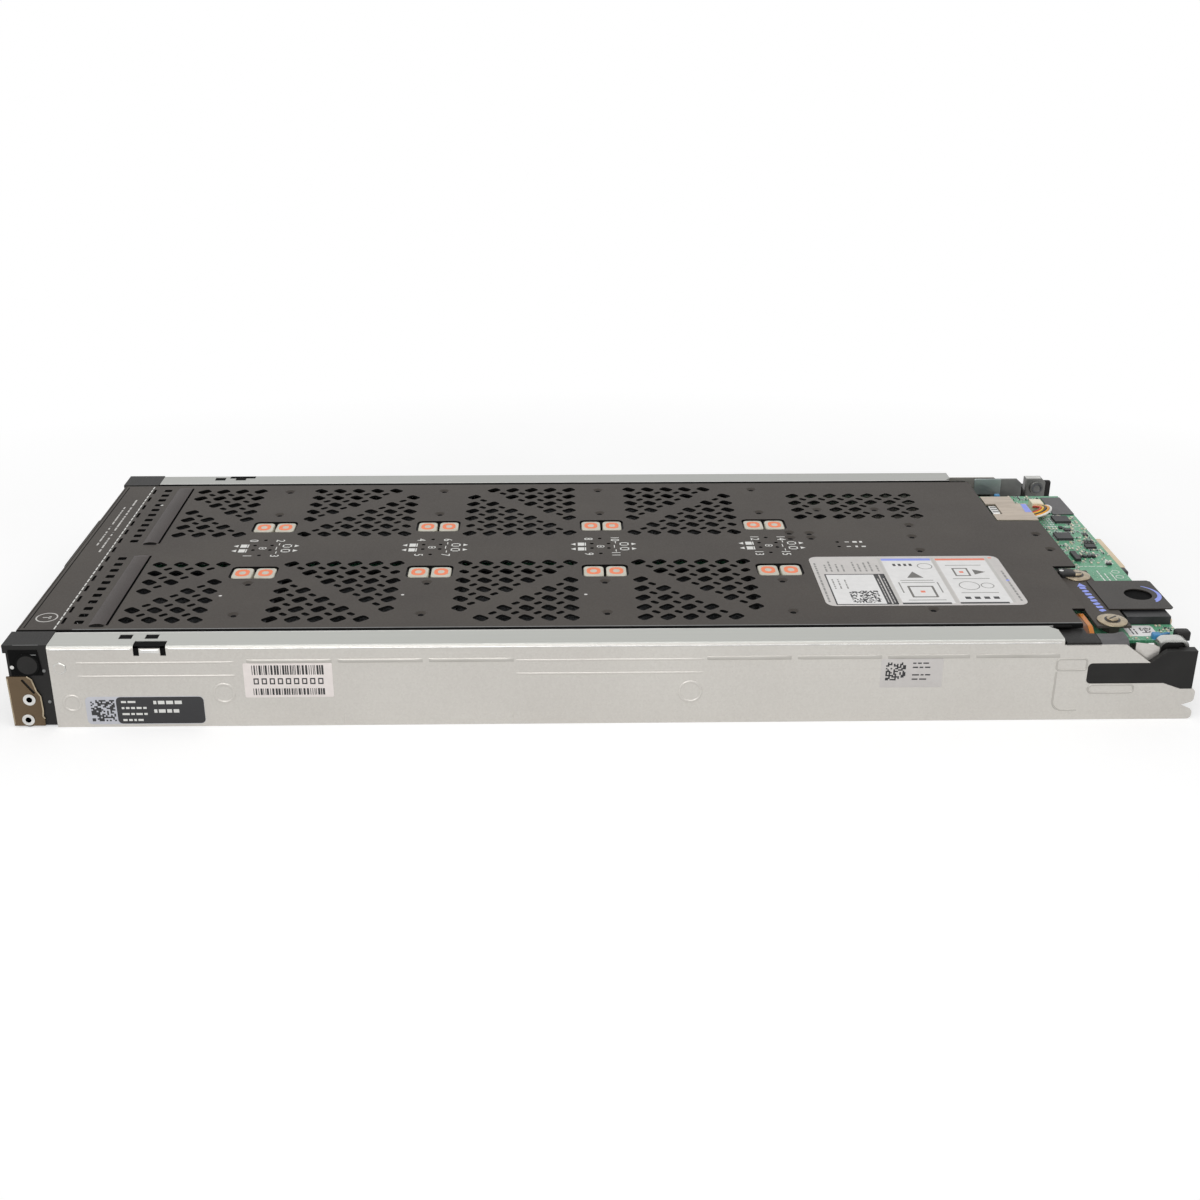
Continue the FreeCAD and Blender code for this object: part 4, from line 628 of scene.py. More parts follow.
def panel_prints():
    """Figures, squares and arrows round the lamp holes of each button column, a broken line along the front fold,
    and four bright pins."""
    level = PANEL_TOP + INK
    pictures = np.array([(-12.6, 0, 3.6, 4.6), (-10.1, 0, 0.7, 4.6), (9.9, 0, 0.8, 4.6), (14.3, 0, 0.8, 4.6),
                         (12.1, 1.9, 5.2, 0.8), (12.1, -1.9, 5.2, 0.8)])
    ticks = np.array([(7.2, 7, 0.5, 3), (7.2, -5.4, 0.5, 3), (6.4, 0.9, 0.5, 4), (-1.4, 1, 1.1, 1.1)])
    figures = []
    shapes = [boxes_at([(142, 5.5, 2.4, 1.0), (146.5, 5.5, 2.6, 2.2), (150, 5.5, 1.6, 2.4), (142, -1.4, 2.4, 1.0),
                        (146.5, -1.4, 1.4, 2.2), (150.5, -1.4, 2.4, 1.6)], PANEL_TOP, level)]
    for column, x in enumerate(BUTTON_COLUMNS):
        for offset, (dx, y) in enumerate([(-8.4, 12.4), (-8.4, -10.2), (6.8, 12.2), (6.8, -10.3)]):
            figures.append((str(4 * column + offset), x + dx, y))
        for y in (4.4, -2.7):
            shapes.append(boxes_at(pictures + (x, y, 0, 0), PANEL_TOP, level))
            for end, tip in ((-15.7, -18.4), (16.3, 19)):
                arrow = [(x + end, y + 1.7), (x + end, y - 1.7), (x + tip, y)]
                shapes.append(sheet_of(arrow, PANEL_TOP, level))
        shapes += [boxes_at(ticks + (x, 0, 0, 0), PANEL_TOP, level),
                   framed(rounded(4.4, 3.2, 1.5, 6) + (x - 1.4, 1), 0.76, PANEL_TOP, level)]
    marks = [numerals(figures, 7, -math.pi / 2, level), *shapes]
    piece("panel_print", marks, "drawer", WHITE_INK)
    dashes = boxes_at(table(-277.2, np.arange(-103, 104, 5.4), 0.7, 4.1), PANEL_TOP, level)
    piece("fold_line_print", dashes, "drawer", WHITE_INK)
    pin = [(0.9, 44.6), (0.9, 45.0), (0.6, 45.15), (AXIS, 45.2)]
    places = ((-202, -65), (-106, -65.2), (-9.2, -66.2), (-265, 71.5))
    piece("panel_pins", turned(pin, places, "z", 12), "drawer", BRIGHT, 40)


def front_strip():
    """Generic marks in front of the fold line: rows of short bars, a ring, and two dark lines of painted shade along
    the fold; and strips of painted shade in the gaps beside the panel."""
    level = PANEL_TOP + INK
    lengths = chance.uniform(1.6, 5.2, 44)
    middles = np.cumsum(lengths + 1.1) + lengths / 2
    shapes = [framed(circles((-285, -91), 5.6), 4.9 / 5.6, PANEL_TOP, level),
              boxes_at([(-285, -91, 4.2, 0.7), (-283.4, -91, 1.2, 2.8)], PANEL_TOP, level)]
    for x, low, high, size in ((-282.6, -8, 84, 1.0), (-286.6, 2, 70, 0.9)):
        keep = low + middles + lengths / 2 < high
        shapes.append(boxes_at(table(x, low + middles, size, lengths)[keep], PANEL_TOP, level))
    piece("front_marks", shapes, "drawer", PALE_INK)
    # painted shade along the fold
    fold_shade_rows = [(-293.1, -292.5, -103.5, 103.5, PANEL_TOP, level), (-294.9, -294.6, -105, 105, PANEL_TOP, level)]
    piece("front_fold_shades", blocks(fold_shade_rows), "drawer", SHADE)
    # painted shade in the gaps between the panel and the lips
    gap_shade_rows = [(-274.5, 236, s * 107.95 - 0.9, s * 107.95 + 0.9, 43.9, 44.5) for s in SIDES]
    piece("edge_gap_shades", blocks(gap_shade_rows), "drawer", SHADE)


drawer_panel()
screw_dimples()
louvre_hoods()
drive_buttons()
panel_prints()
front_strip()


# Printed labels

def code_cells(x, y, side, count, low, high):
    """Square field of random dark cells, with no readable content."""
    row, place = np.nonzero(chance.random((count, count)) < 0.52)
    pitch = side / count
    x, y = x - side / 2 + (place + 0.5) * pitch, y - side / 2 + (row + 0.5) * pitch
    return boxes_at(table(x, y, pitch, pitch), low, high)


def text_bars(start, end, lines, height, low, high, along="x"):
    """Rows of short bars of random length that stand for lines of small print, along x or along y."""
    rows = []
    for line in lines:
        lengths = chance.uniform(1.2, 4.0, 60)
        begins = start + np.cumsum(lengths + 0.8) - lengths
        keep = begins + lengths < end - chance.uniform(0, 0.25 * (end - start))
        rows.append(table(begins + lengths / 2, line, lengths, height)[keep])
    rows = np.concatenate(rows)
    return boxes_at(rows if along == "x" else rows[:, [1, 0, 3, 2]], low, high)


def service_label():
    """White label on the panel: small print, a framed code field and two plain picture panels."""
    base = PANEL_TOP + 0.05
    ink = base + INK
    over = ink + 0.01
    piece("service_label", slab(rounded(106, 66.6, 5) + (169, -49.9), PANEL_TOP - 0.02, base, 0.03), "drawer",
          PAPER, 40)
    fields = boxes_at([(135, -61.6, 27, 39), (170, -51.5, 27.6, 58), (200.3, -51.5, 27.6, 58)], base, ink - 0.01)
    dark = [code_cells(138.3, -71.6, 15.4, 19, base, ink),
            boxes_at([(121.6, -61.6, 0.8, 39.8), (153.7, -61.6, 0.5, 39.8), (137.6, -81.4, 32.4, 0.9),
                      (137.6, -41.8, 32.4, 0.9), (149.2, -61.6, 2.6, 39.2), (152.5, -61.6, 2.6, 39.2),
                      (168.9, -80.6, 25.7, 2), (199.3, -80.4, 25.7, 2)], base, over),
            boxes_at(table((162, 165, 168, 171), -29, 1.6, 3.2), base, ink),
            boxes_at(table((192, 197, 202, 207), -74, 3, 3), base, ink)]
    light = text_bars(-80, -43, (149.2, 152.5), 0.45, ink, ink + INK, "y")
    stone = [sheet_of([(165.5, -47), (174.5, -47), (170, -38.5)], base, ink),
             sheet_of([(203.5, -43), (203.5, -36), (210, -39.5)], base, ink)]
    for spot, length, width, line in (((170, -65.5), 14, 15, 2.4), ((196.8, -39.5), 8.6, 11, 2)):
        stone.append(pierced(rounded(length, width, 0.4) + spot, [rounded(length - line, width - line, 0.4) + spot],
                             ink, base))
    grey = [text_bars(-38.6, -22.5, (123.4, 126.2, 129.8, 133, 139.2, 142, 145.4, 148.4, 152), 1.0, base, ink, "y"),
            text_bars(-79, -22, (118.2, 219.2), 1.1, base, ink, "y"),
            text_bars(-62, -43.5, (124.4, 127.4, 131), 0.8, base, ink, "y")]
    for *spot, r in ((178.6, -31, 4.2), (196.6, -58, 5.6), (206.4, -58, 3.6)):
        grey.append(framed(circles(spot, r), 1 - 0.55 / r, base, ink))
    for x, y, length, turn in ((170, -50.5, 18, 0), (170, -53.5, 18, 0), (170, -76.4, 20, 0), (200, -30, 20, 0),
                               (200, -48.6, 20, 0), (200, -67.4, 20, 0), (159.6, -60, 14, 90), (180.4, -60, 14, 90)):
        grey.append(sheet_of(slots((x, y, length, 0.7, turn), 0.3), base, ink))
    pale = boxes_at(table((154.9, 185, 215.2), -49.5, 1.5, 61), base, ink)
    blue = boxes_at([(170, -21.4, 27.5, 3), (219.2, -51, 1.8, 1.8)], base, over)
    red = boxes_at([(200.3, -21.6, 27.6, 2.6), (170, -65.5, 2.4, 2.4), (196.8, -39.5, 2.2, 2.2),
                    (217.5, -19.6, 2, 1.4)], base, over)
    for name, shape, finish in (("white_fields", fields, WHITE_FIELD), ("dark_print", dark, BLACK_INK),
                                ("light_print", light, PAPER), ("stone_print", stone, STONE_INK),
                                ("grey_print", grey, GREY_INK), ("pale_print", pale, PALE_INK),
                                ("blue_print", blue, BLUE_INK), ("red_print", red, RED_INK)):
        piece(f"label_{name}", shape, "drawer", finish)


def wall_label(name, outline, finish):
    """Plain label stuck to the near wall."""
    fitting(name, outline, -WALL_FACE + 0.02, -WALL_FACE - 0.08, 0.03, finish, "y")


def wall_print(name, finish, *shapes):
    """Flat shapes stood up against the near wall: y becomes height and the level goes outwards."""
    upright = [(table(points[:, 0], -WALL_FACE - points[:, 2], points[:, 1]), faces) for points, faces in shapes]
    piece(name, upright, "sled", finish)


def wall_labels():
    """Three plain labels on the near wall: a two-tone tag, a bar code and a small code label."""
    wall_label("tag_plate", rounded(59, 15.5, 2.5) + (-230.5, 9.25), SILVER_PAPER)
    fitting("tag_dark_field", rounded(43.6, 15, 2.3) + (-222.9, 9.25), -WALL_FACE, -WALL_FACE - 0.1, 0.02, BLACK_INK,
            "y")
    wall_print("tag_code", BLACK_INK, code_cells(-251.5, 9.2, 12, 14, 0.08, 0.11))
    wall_print("tag_light_print", WHITE_INK, text_bars(-243, -229, (14, 10.6, 7.2, 3.8), 1.1, 0.1, 0.13),
               text_bars(-227, -208, (13.6, 8.8), 1.9, 0.1, 0.13))
    wall_label("bar_label", rounded(44, 19, 0.8) + (-158, 25.5), PINK_PAPER)
    widths = chance.choice([0.35, 0.7, 1.0], 52)
    starts = -176.5 + np.cumsum(widths + chance.choice([0.35, 0.7], 52)) - widths
    keep = starts + widths < -139
    bars = [boxes_at(table(starts + widths / 2, z, widths, height)[keep], 0.08, 0.11)
            for z, height in ((31.2, 5.2), (19.2, 3.6))]
    figures = -158 + 4 * np.arange(-4, 5)
    wall_print("bar_label_print", BLACK_INK, *bars, boxes_at(table(figures, 25, 2.6, 3.4), 0.08, 0.11))
    wall_print("bar_label_cores", PINK_PAPER, boxes_at(table(figures, 25, 1.4, 2.0), 0.11, 0.115))
    wall_label("code_label", rounded(31, 16, 0.5) + (152.5, 27), PAPER)
    wall_print("code_label_print", BLACK_INK, code_cells(144.4, 28, 10, 13, 0.08, 0.11),
               text_bars(152, 166, (32.5, 30.2, 26, 23.6), 0.7, 0.08, 0.11))


service_label()
wall_labels()


# Pressed detail of the side walls

def wall_pressings(name, side):
    """Beads, ringed dimples and raised fields of a side wall and the bend under its lip, as low ridges on the outer
    face; the bend's ridges, one across the hook tab and a strip along the lip are painted highlights in polished
    steel."""
    face = side * WALL_FACE

    def level(ends, z, count, width, height):
        """Straight level ridge between two x."""
        return ridge(table(np.linspace(*ends, count), z), width, height, face)

    beads = [level(ends, 36.1, 24, 2.2, 0.45) for ends in ((-178, -136), (-133, -91), (-88, -46), (50, 92),
                                                           (95, 137), (140, 181), (184, 226))]
    for length, height, r, *spot in ((15, 6.2, 1.5, 232.5, 31), (23, 4.4, 2.1, 253.8, 17.3)):
        beads.append(ridge(rounded(length, height, r, 6) + spot, 1.0, 0.35, face, closed=True))
    bend = (230.2, 10.4) + 5 * unit(np.radians(np.linspace(180, 270, 8)))
    groove = np.concatenate([table(225.2, np.linspace(27.2, 12.4, 10)), bend, table(np.linspace(232, 238, 5), 5.4)])
    beads.append(ridge(groove, 1.0, 0.35, face))
    # beads in the darker zinc: painted shade
    piece(f"{name}_wall_beads", beads, "sled", BEAD_ZINC_SHADED, 50)
    shapes = [level(ends, z, 20, 1.2, 0.25) for ends in ((-262, -184), (-45, 49)) for z in (35.6, 28.2)]
    for *spot, r in ((-190.5, 18.5, 5), (42, 17.5, 5.5), (-266.4, 13.4, 4.2)):
        shapes.append(ridge(circles(spot, r, 32), 1.5, 0.35, face, closed=True))
    shapes += [ridge(table(x, np.linspace(0.8, 7, 8)), 0.8, 0.2, face) for x in (-132, -47)]
    piece(f"{name}_wall_pressings", shapes, "sled", ZINC, 50)
    lip = sorted((side * 109.05, side * 109.7))
    # painted highlights: polished ridges on the bend and the hook tab, and a polished strip along the lip
    fold_highlight_shapes = [level((WALL_ENDS[0], -234), 43.1, 40, 0.8, 0.25), level((-216, WALL_ENDS[1]), 43.1, 40, 0.8, 0.25),
             level((-229.8, -220.2), 41.9, 12, 2.2, 0.3), blocks([(*WALL_ENDS, *lip, 44.97, 45.03)])]
    piece(f"{name}_wall_fold_highlights", fold_highlight_shapes, "sled", BRIGHT, 60)


def wall_shades(name, side, inset):
    """Matt black sheets of painted shade in the hook slot, the lip slots and along the lip's inner edge, so that they
    read as openings; round corners in the guide arm's notch, and a six-sided collar round the locating pip."""
    middle = WALL_FACE - inset - 2.5
    bar, web, leg, slot, lip = (sorted((side * first, side * second)) for first, second in (
        (119.55, 124.6), (123.85, 123.95), (123.9, 124.6), (middle - 2.45, middle + 2.45), (108.93, 109.02)))
    # painted shade in the slots and along the lip's inner edge
    slot_shade_rows = [(-233.6, -216.4, *web, 38.9, 43.6), (-232.95, -217.05, *bar, 43.6, 44.6),
              (-232.95, -230.25, *leg, 39.55, 44.55), (-219.75, -217.05, *leg, 39.55, 44.55),
              (-241.95, -235.55, *slot, 43.6, 44.7), (-228.95, -222.55, *slot, 43.6, 44.7),
              (*WALL_ENDS, *lip, 43.85, 44.8)]
    piece(f"{name}_slot_shades", blocks(slot_shade_rows), "sled", SHADE)
    corners = []
    for corner, centre, turns in (((240.8, 31.7), (243, 29.5), (180, 90)), ((240.8, 20.3), (243, 22.5), (180, 270))):
        arc = centre + 2.15 * unit(np.radians(np.linspace(*turns, 8)))
        corners.append(sheet_of([corner, *arc], side * 123.8, side * WALL_FACE, "y"))
    piece(f"{name}_notch_corners", corners, "sled", ZINC)
    cap = [(3.4, side * -0.05), (3.4, side * 0.28), (2.75, side * 0.49), (AXIS, side * 0.49)]
    piece(f"{name}_pip_cap", spun(cap, (-270, side * WALL_FACE, 33), "y", 6), "sled", STRAP_STEEL_AND_HIGHLIGHT, 20)


wall_pressings("near", -1)
wall_pressings("far", 1)
wall_shades("near", -1, 8)
wall_shades("far", 1, 4)


# Front corner on the near side

def latch_plate():
    """Bent plate with a slanted slot, a hooked rear edge and two eyelets, with painted highlights along its edges and
    painted shade in the eyelets' holes and in rings round them; above it a knob in a ring of painted shade, and a pin
    before a sheet of painted shade on the block's side, with painted highlights on the knob's top and the block's
    top edge."""
    face = -124.4
    outline = np.array([(-297, 0.6), (-281.6, 0.6), (-281.4, 4.5), (-282.2, 6), (-281.7, 9), (-281.9, 17),
                        (-283.6, 20), (-285.2, 26.4), (-287.4, 28.1), (-297.4, 28.1)])
    sheet = pierced(outline, [slots((-287.3, 22.6, 9.5, 1.3, -55), 0.6)], face, -123.6, "y")
    piece("latch_sheet", sheet, "drawer", BRONZE, hides=["latch_plate"])
    front_edge = table(np.linspace(-297.1, -296.7, 6), np.linspace(27.6, 1, 6))
    # painted highlights along the plate's edges
    edges = [ridge(outline[2:9], 0.8, 0.2, face), ridge(front_edge, 0.7, 0.2, face)]
    piece("latch_edge_highlights", edges, "drawer", NICKEL_AND_EDGE_HIGHLIGHT, 50)
    eyelets = ((-289.5, -124.5, 4.2), (-287.5, -124.5, 15.5))
    eyelet = [(1.5, -0.55), (1.35, -0.1), (1.6, 0.42), (2.3, 0.58), (2.85, 0.5), (3.1, 0.2), (3.1, -0.55)]
    piece("latch_eyelets", turned(eyelet, eyelets, "y"), "drawer", BRIGHT, 40, hides=["latch_rivets"])
    core = [(AXIS, 0.2), (1.5, 0.2), (1.45, 0.45), (AXIS, 0.5)]
    collar = [(2.9, 0.35), (4.0, 0.35), (4.1, 0.12), (2.9, 0.1)]
    knob = [(4.8, 0.9), (4.8, 0.3), (3.4, 0.0), (AXIS, -0.05)]
    groove = [(5.0, 0.4), (5.0, -0.02), (6.1, -0.02), (6.1, 0.4)]
    pin = [(AXIS, -0.05), (1.0, 0.0), (1.1, 0.6), (1.1, 1.2)]
    # painted shade: dark cores in the eyelets' holes, dark rings round them, and a dark ring in the knob's groove
    for name, profile, places, finish, slot in (
            ("latch_eyelet_hole_shades", core, eyelets, CHIP_BLACK_AND_SHADE, "chip_black"),
            ("latch_eyelet_shadow_rings", collar, eyelets, DARK_SHADE_STEEL, "black_plastic"),
            ("front_boss_cap", knob, [(-286, -124.6, 34.5)], BLACK_PLASTIC, "black_plastic"),
            ("front_boss_groove_shade", groove, [(-286, -124.62, 34.5)], SHADE, "black_plastic"),
            ("front_pin_head", pin, [(-293.7, -124.2, 33.2)], BRIGHT, "bright_steel")):
        piece(name, turned(profile, places, "y"), "drawer", finish, 40)
    # painted shade on the side of the corner block
    painted_side_shade = sheet_of([(-294.4, 28.6), (-279, 28.6), (-280.4, 42.4), (-294.8, 42.4)], -123.7, -124.06, "y")
    piece("front_side_shade", painted_side_shade, "drawer", SHADE)
    # painted highlights on the knob's top and the block's top edge
    lines = [ridge(table(np.linspace(-288.4, -281, 8), 39.9), 0.5, 0.3, -124.06),
             blocks([(-292, -279.6, -123.6, -123.2, 44.98, 45.03)])]
    piece("front_side_highlights", lines, "drawer", GREY_MOULDING_AND_HIGHLIGHT)
    dot = [(AXIS, -0.35), (0.8, -0.25), (0.9, 0.2)]
    dots = turned(dot, ((-277.9, -123.7, 13.8), (-278.4, -123.7, 31)), "y", 14)
    piece("front_frame_dots", dots, "drawer", GREY_MOULDING_AND_HIGHLIGHT, 40)


def front_handle():
    """Lever across the front: an arm with a barrel round its pin, and a broad grip with three pressed ribs."""
    arm = [slab(rounded(80, 16, 5) + (-61, 32), -293.6, -296.3, 0.7, "x"),
           spun([(1.7, 24), (2.5, 24.3), (2.5, 39.7), (1.7, 40)], (-293.3, -104), "z", 24),
           slab(rounded(50, 4, 1.9) + (-66, 32), -296.2, -296.8, 0.5, "x")]
    piece("handle_arm", arm, "handle", BRONZE, 40, hides=["release_handle"])
    grip = [slab(rounded(76, 30.3, 4.5) + (14, 29.25), -295.9, -297.15, 0.6, "x")]
    grip += [slab(rounded(58, 2.6, 1.2) + (14, z), -297, -297.48, 0.3, "x") for z in (20.5, 25.5, 30.5)]
    piece("handle_grip", grip, "handle", BLACK_PLASTIC, 40)


latch_plate()
front_handle()


# Rear board and control module

def captive_screws():
    """Two broad washers, each with a slotted head on a low hub, turned from profiles, with painted shade in the
    heads' slots and dark rings round the hubs' feet, and the module's clip.
    """
    places = ((259.5, -100), (259.5, -41.5))
    washer = [(AXIS, MODULE_TOP), (7.4, MODULE_TOP), (7.6, 43.5), (7.5, 43.9), (7.1, 44.1), (4.4, 44.15),
              (AXIS, 44.15)]
    piece("captive_washers", turned(washer, places, "z", 40), "sled", NICKEL_AND_EDGE_HIGHLIGHT, 35,
          hides=["captive_screws"])
    hub = [(AXIS, 44.1), (3.0, 44.1), (3.0, 44.9), (2.7, 45.3), (2.4, 45.38), (AXIS, 45.4)]
    piece("captive_hubs", turned(hub, places, "z", 32), "sled", NICKEL_AND_EDGE_HIGHLIGHT, 35)
    # painted shade: dark sheets in the heads' slots
    grooves = [sheet_of(slots((*spot, 5.2, 1.0, turn), 0.3), 45.3, 45.43) for spot, turn in zip(places, (35, -20))]
    rims = [framed(circles(spot, 4.0, 32), 3.05 / 4.0, 44.1, 44.3) for spot in places]
    piece("captive_slot_shades_and_rims", grooves + rims, "sled", CHIP_BLACK_AND_SHADE)
    fitting("module_clip", rounded(8.5, 8, 1.6) + (254.6, -40.6), MODULE_TOP, 45.7, 0.8, BLACK_PLASTIC)
    pin = spun([(1.2, 45.5), (1.2, 45.8), (0.7, 45.95), (AXIS, 45.96)], (251.8, -39.8), "z", 16)
    piece("module_clip_pin", pin, "sled", BRIGHT, 40)


def flat_cable():
    """Two flat films side by side: level over the module, then down to the board along a smooth step."""
    y = np.linspace(-111.9, -86, 40)
    path = table(y, 38.3 + 3.9 * eased_step((y + 111.9) / 9) * eased_step((-86 - y) / 3))
    gauge = 0.25
    piece("brown_flat_cable", strip(path, 243.2, 245.5, gauge), "sled", BROWN_FLEX, 50,
          hides=["flat_cable"])
    piece("orange_flat_cable", strip(path + (0, 0.12), 245.7, 248.2, gauge), "sled", FLEX, 50)


def pull_tab_print():
    """Crescent beside the finger hole, widening along its arc, a row of short marks before the fold, and a block of
    painted shade under the tab."""
    out = unit(np.radians(np.linspace(64, -58, 30)))
    width = np.linspace(0.5, 3.0, 30) * np.clip(np.arange(29, -1, -1) / 3, 0.25, 1)
    middle = (284, -68.25)
    inner, outer = middle + out * (11.9 - width)[:, None], middle + out * 11.9
    corners = ((inner, 43.88), (outer, 43.88), (outer, 43.93), (inner, 43.93))
    crescent = loft(np.stack([laid(edge, level) for edge, level in corners], 1))
    piece("tab_crescent", crescent, "tab", BLUE_INK)
    marks = slots([(257.9 + 0.16 * k, -58 - 4.1 * k, 3.4, 2.6, 8 + 20 * (k % 2)) for k in range(8)], 0.6)
    arrow = [(255.6, -56), (260.6, -56), (258.1, -51.4)]
    piece("module_marks", [sheet_of(mark, 43.19, 43.24) for mark in (*marks, arrow)], "sled", BLUE_INK)
    # painted shade under the tab, seen through its finger hole
    fitting("tab_shade_pad", rounded(17, 23, 3) + (284.2, -66), BOARD_TOP + 0.02, 42.6, 0.8, SHADE)


def chip_leads(x, y, side, count, level):
    """Leads along the four edges of a square chip."""
    step = (np.arange(count) - (count - 1) / 2) * side * 0.84 / count
    reach = side / 2 + 0.35
    rows = [table(x + step, y + s * reach, 0.36, 0.9) for s in SIDES]
    rows += [table(x + s * reach, y + step, 0.9, 0.36) for s in SIDES]
    return boxes_at(np.concatenate(rows), BOARD_TOP, level)


def board_small_parts():
    """Chips' leads, and small parts thrown over the open board, each a body with two tinned ends; white print, a
    film and a plain label."""
    taken = np.array([(281.6, 54.9, 7, 7), (274.5, 27.4, 7, 7), (272, -3, 3, 8), (285.5, 12, 5, 4),
                      (281, -88.8, 13, 6), (272.5, 76.5, 6, 6), (251, 62, 14, 21), (274.5, -101, 9, 8),
                      (284, -68, 10, 11), (259.5, -70, 10, 38), (286.5, 79.5, 8, 17), (246, -100, 4, 16),
                      (256, -114, 10, 7), (292, -110, 6, 5), (272.4, 51, 5, 8), (281, -31, 11.5, 19)])
    spots = table(chance.uniform(250, 291.6, 1300), chance.uniform(-110, 96, 1300))
    reach = np.abs(spots[:, None] - taken[None, :, :2]) - taken[None, :, 2:]
    spots = spots[(reach.max(2) > 0).all(1)]
    pitch = 2.4 * np.array([0.8, 1.0])
    spots = np.unique(np.round(spots / pitch), axis=0) * pitch
    lying = chance.random((len(spots), 1)) < 0.5
    size = np.where(lying, (1.5, 0.8), (0.8, 1.5)) * chance.uniform(0.7, 1.25, (len(spots), 1))
    kind = chance.random(len(spots))
    bodies = np.hstack([spots, size])
    for name, finish, slot, keep, height in (("board_capacitors", CERAMIC, "cream_plastic", kind < 0.6, 0.75),
                                             ("board_resistors", CHIP_BLACK_AND_SHADE, "chip_black", kind >= 0.6, 0.55)):
        piece(name, boxes_at(bodies[keep], BOARD_TOP, BOARD_TOP + height), "sled", finish)
    offset = np.where(lying, (0.42, 0), (0, 0.42)) * size
    cap = np.where(lying, (0.28, 1.08), (1.08, 0.28)) * size
    tinned = [boxes_at(np.hstack([spots + s * offset, cap]), BOARD_TOP, BOARD_TOP + 0.6) for s in SIDES]
    pads = [(269.6 + 1.9 * i, 45 + 3.1 * j, 1.2, 1.5) for i in range(4) for j in range(5)]
    tinned += [chip_leads(281.6, 54.9, 9.5, 12, 38.5), chip_leads(274.5, 27.4, 9.5, 12, 38.5),
               chip_leads(285.5, 12, 5.4, 6, 38.4), boxes_at(pads, BOARD_TOP, 38.25)]
    piece("board_tinned_ends", tinned, "sled", SOLDER)
    cluster = [(284.6 + 2.1 * i, 17.5 + 2.6 * j, 1.5, 2.0) for i in range(3) for j in range(2)]
    more = [(280.6, 38.6, 4, 3.2), (277.6, 42.4, 2.2, 2.8), (288.6, 30.4, 2.4, 3.4), (287.6, -14, 3, 2)]
    black = [boxes_at(table(274.8 + 2.6 * np.arange(4), -2.8, 1.9, 2.6), BOARD_TOP, 39.3),
             boxes_at(cluster, BOARD_TOP, 39), boxes_at(more, BOARD_TOP, 39.1)]
    bevel = piece("board_black_parts", black, "sled", CHIP_BLACK_AND_SHADE).modifiers.new("ease", "BEVEL")
    bevel.width = 0.15 * MM
    bevel.segments = 2
    bevel.limit_method = "ANGLE"
    level = BOARD_TOP + INK
    x, y = spots[::3].T
    white = [boxes_at(table(x + dx, y + dy, wide, deep), BOARD_TOP, level)
             for dx, dy, wide, deep in ((0, 1.3, 2.6, 0.18), (0, -1.3, 2.6, 0.18), (1.3, 0, 0.18, 2.6),
                                        (-1.3, 0, 0.18, 2.6))]
    white += [text_bars(-46, -20, (278, 281, 284.6), 0.7, BOARD_TOP, level, "y"),
              text_bars(262, 291, (-16, 36.6, 45.4, 64), 0.6, BOARD_TOP, level),
              sheet_of([(286, -12.5), (291, -12.5), (288.5, -5.5)], BOARD_TOP, level)]
    white += [framed(circles(spot, 2.2, 20), 1.8 / 2.2, BOARD_TOP, level)
              for spot in ((288, -24), (288, -31), (268, 8), (289, 47))]
    piece("board_white_print", white, "sled", WHITE_INK)
    film = sheet_of([(279.8, 64.2), (292.8, 64.6), (292.8, 93.6), (280.6, 93.6)], BOARD_TOP + 0.3, BOARD_TOP + 0.75)
    piece("board_film", film, "sled", GREY_FILM)
    label_top = BOARD_TOP + 0.1
    fitting("board_label", rounded(15, 12.6, 1.6) + (274.4, -101), BOARD_TOP, label_top, 0.05, WHITE_FIELD)
    label_print = [code_cells(277.6, -100.6, 6, 9, label_top, label_top + INK),
                   text_bars(-106, -96, (269.6, 271.6), 0.7, label_top, label_top + INK, "y")]
    piece("board_label_print", label_print, "sled", BLACK_INK)


def bracket_details():
    """Slider in the bracket's slot and a coloured film along its rear edge."""
    fitting("bracket_slider", rounded(5, 13, 1) + (242.2, 61), 40, 43.2, 0.5, BRIGHT)
    ribs = boxes_at(table(242.2, (57.5, 61, 64.5), 3.6, 0.9), 43.18, 43.26)
    piece("bracket_slider_ribs", ribs, "sled", CHIP_BLACK_AND_SHADE)
    film = sheet_of([(259.6, 55.5), (263.6, 55.5), (263.6, 69.2), (260.4, 69.2)], 43.59, 43.66)
    piece("bracket_film", film, "sled", BLUE_INK)


def connector_leads():
    """Five insulated leads side by side from the cream connector, round and back under the slotted bracket: smooth
    curves that cut the corners of their routes."""
    radius, length_share = 0.75, 0.978
    for index, sleeve in enumerate(LEAD_SLEEVES):
        x = 269.8 + 1.35 * index
        drop = 1.1 * index
        rise = 0.25 * index
        route = np.array([(x, 72.6, 40.4), (x + 0.9, 69.4, 41.8 + rise), (x + 2.4, 64.8 - drop / 2, 43 + rise),
                          (x - 0.6, 60 - drop, 42.6 + rise), (x - 7, 58.6 - drop, 41.2), (x - 13, 59 - drop, 40.2),
                          (x - 19, 60.4 - drop, 39.6), (247.5, 62 - drop, 39.3)]) * MM
        line = bpy.data.curves.new(f"lead_{index}", "CURVE")
        line.dimensions = "3D"
        line.bevel_depth = radius * MM
        line.bevel_resolution = 3
        line.use_fill_caps = True
        spline = line.splines.new("NURBS")
        spline.points.add(len(route) - 1)
        spline.points.foreach_set("co", table(*route.T, 1).ravel())
        spline.order_u = 3
        spline.use_endpoint_u = True
        spline.resolution_u = 8
        line.materials.append(sleeve)
        lead = linked(f"lead_{index}", line)
        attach(lead, "sled")


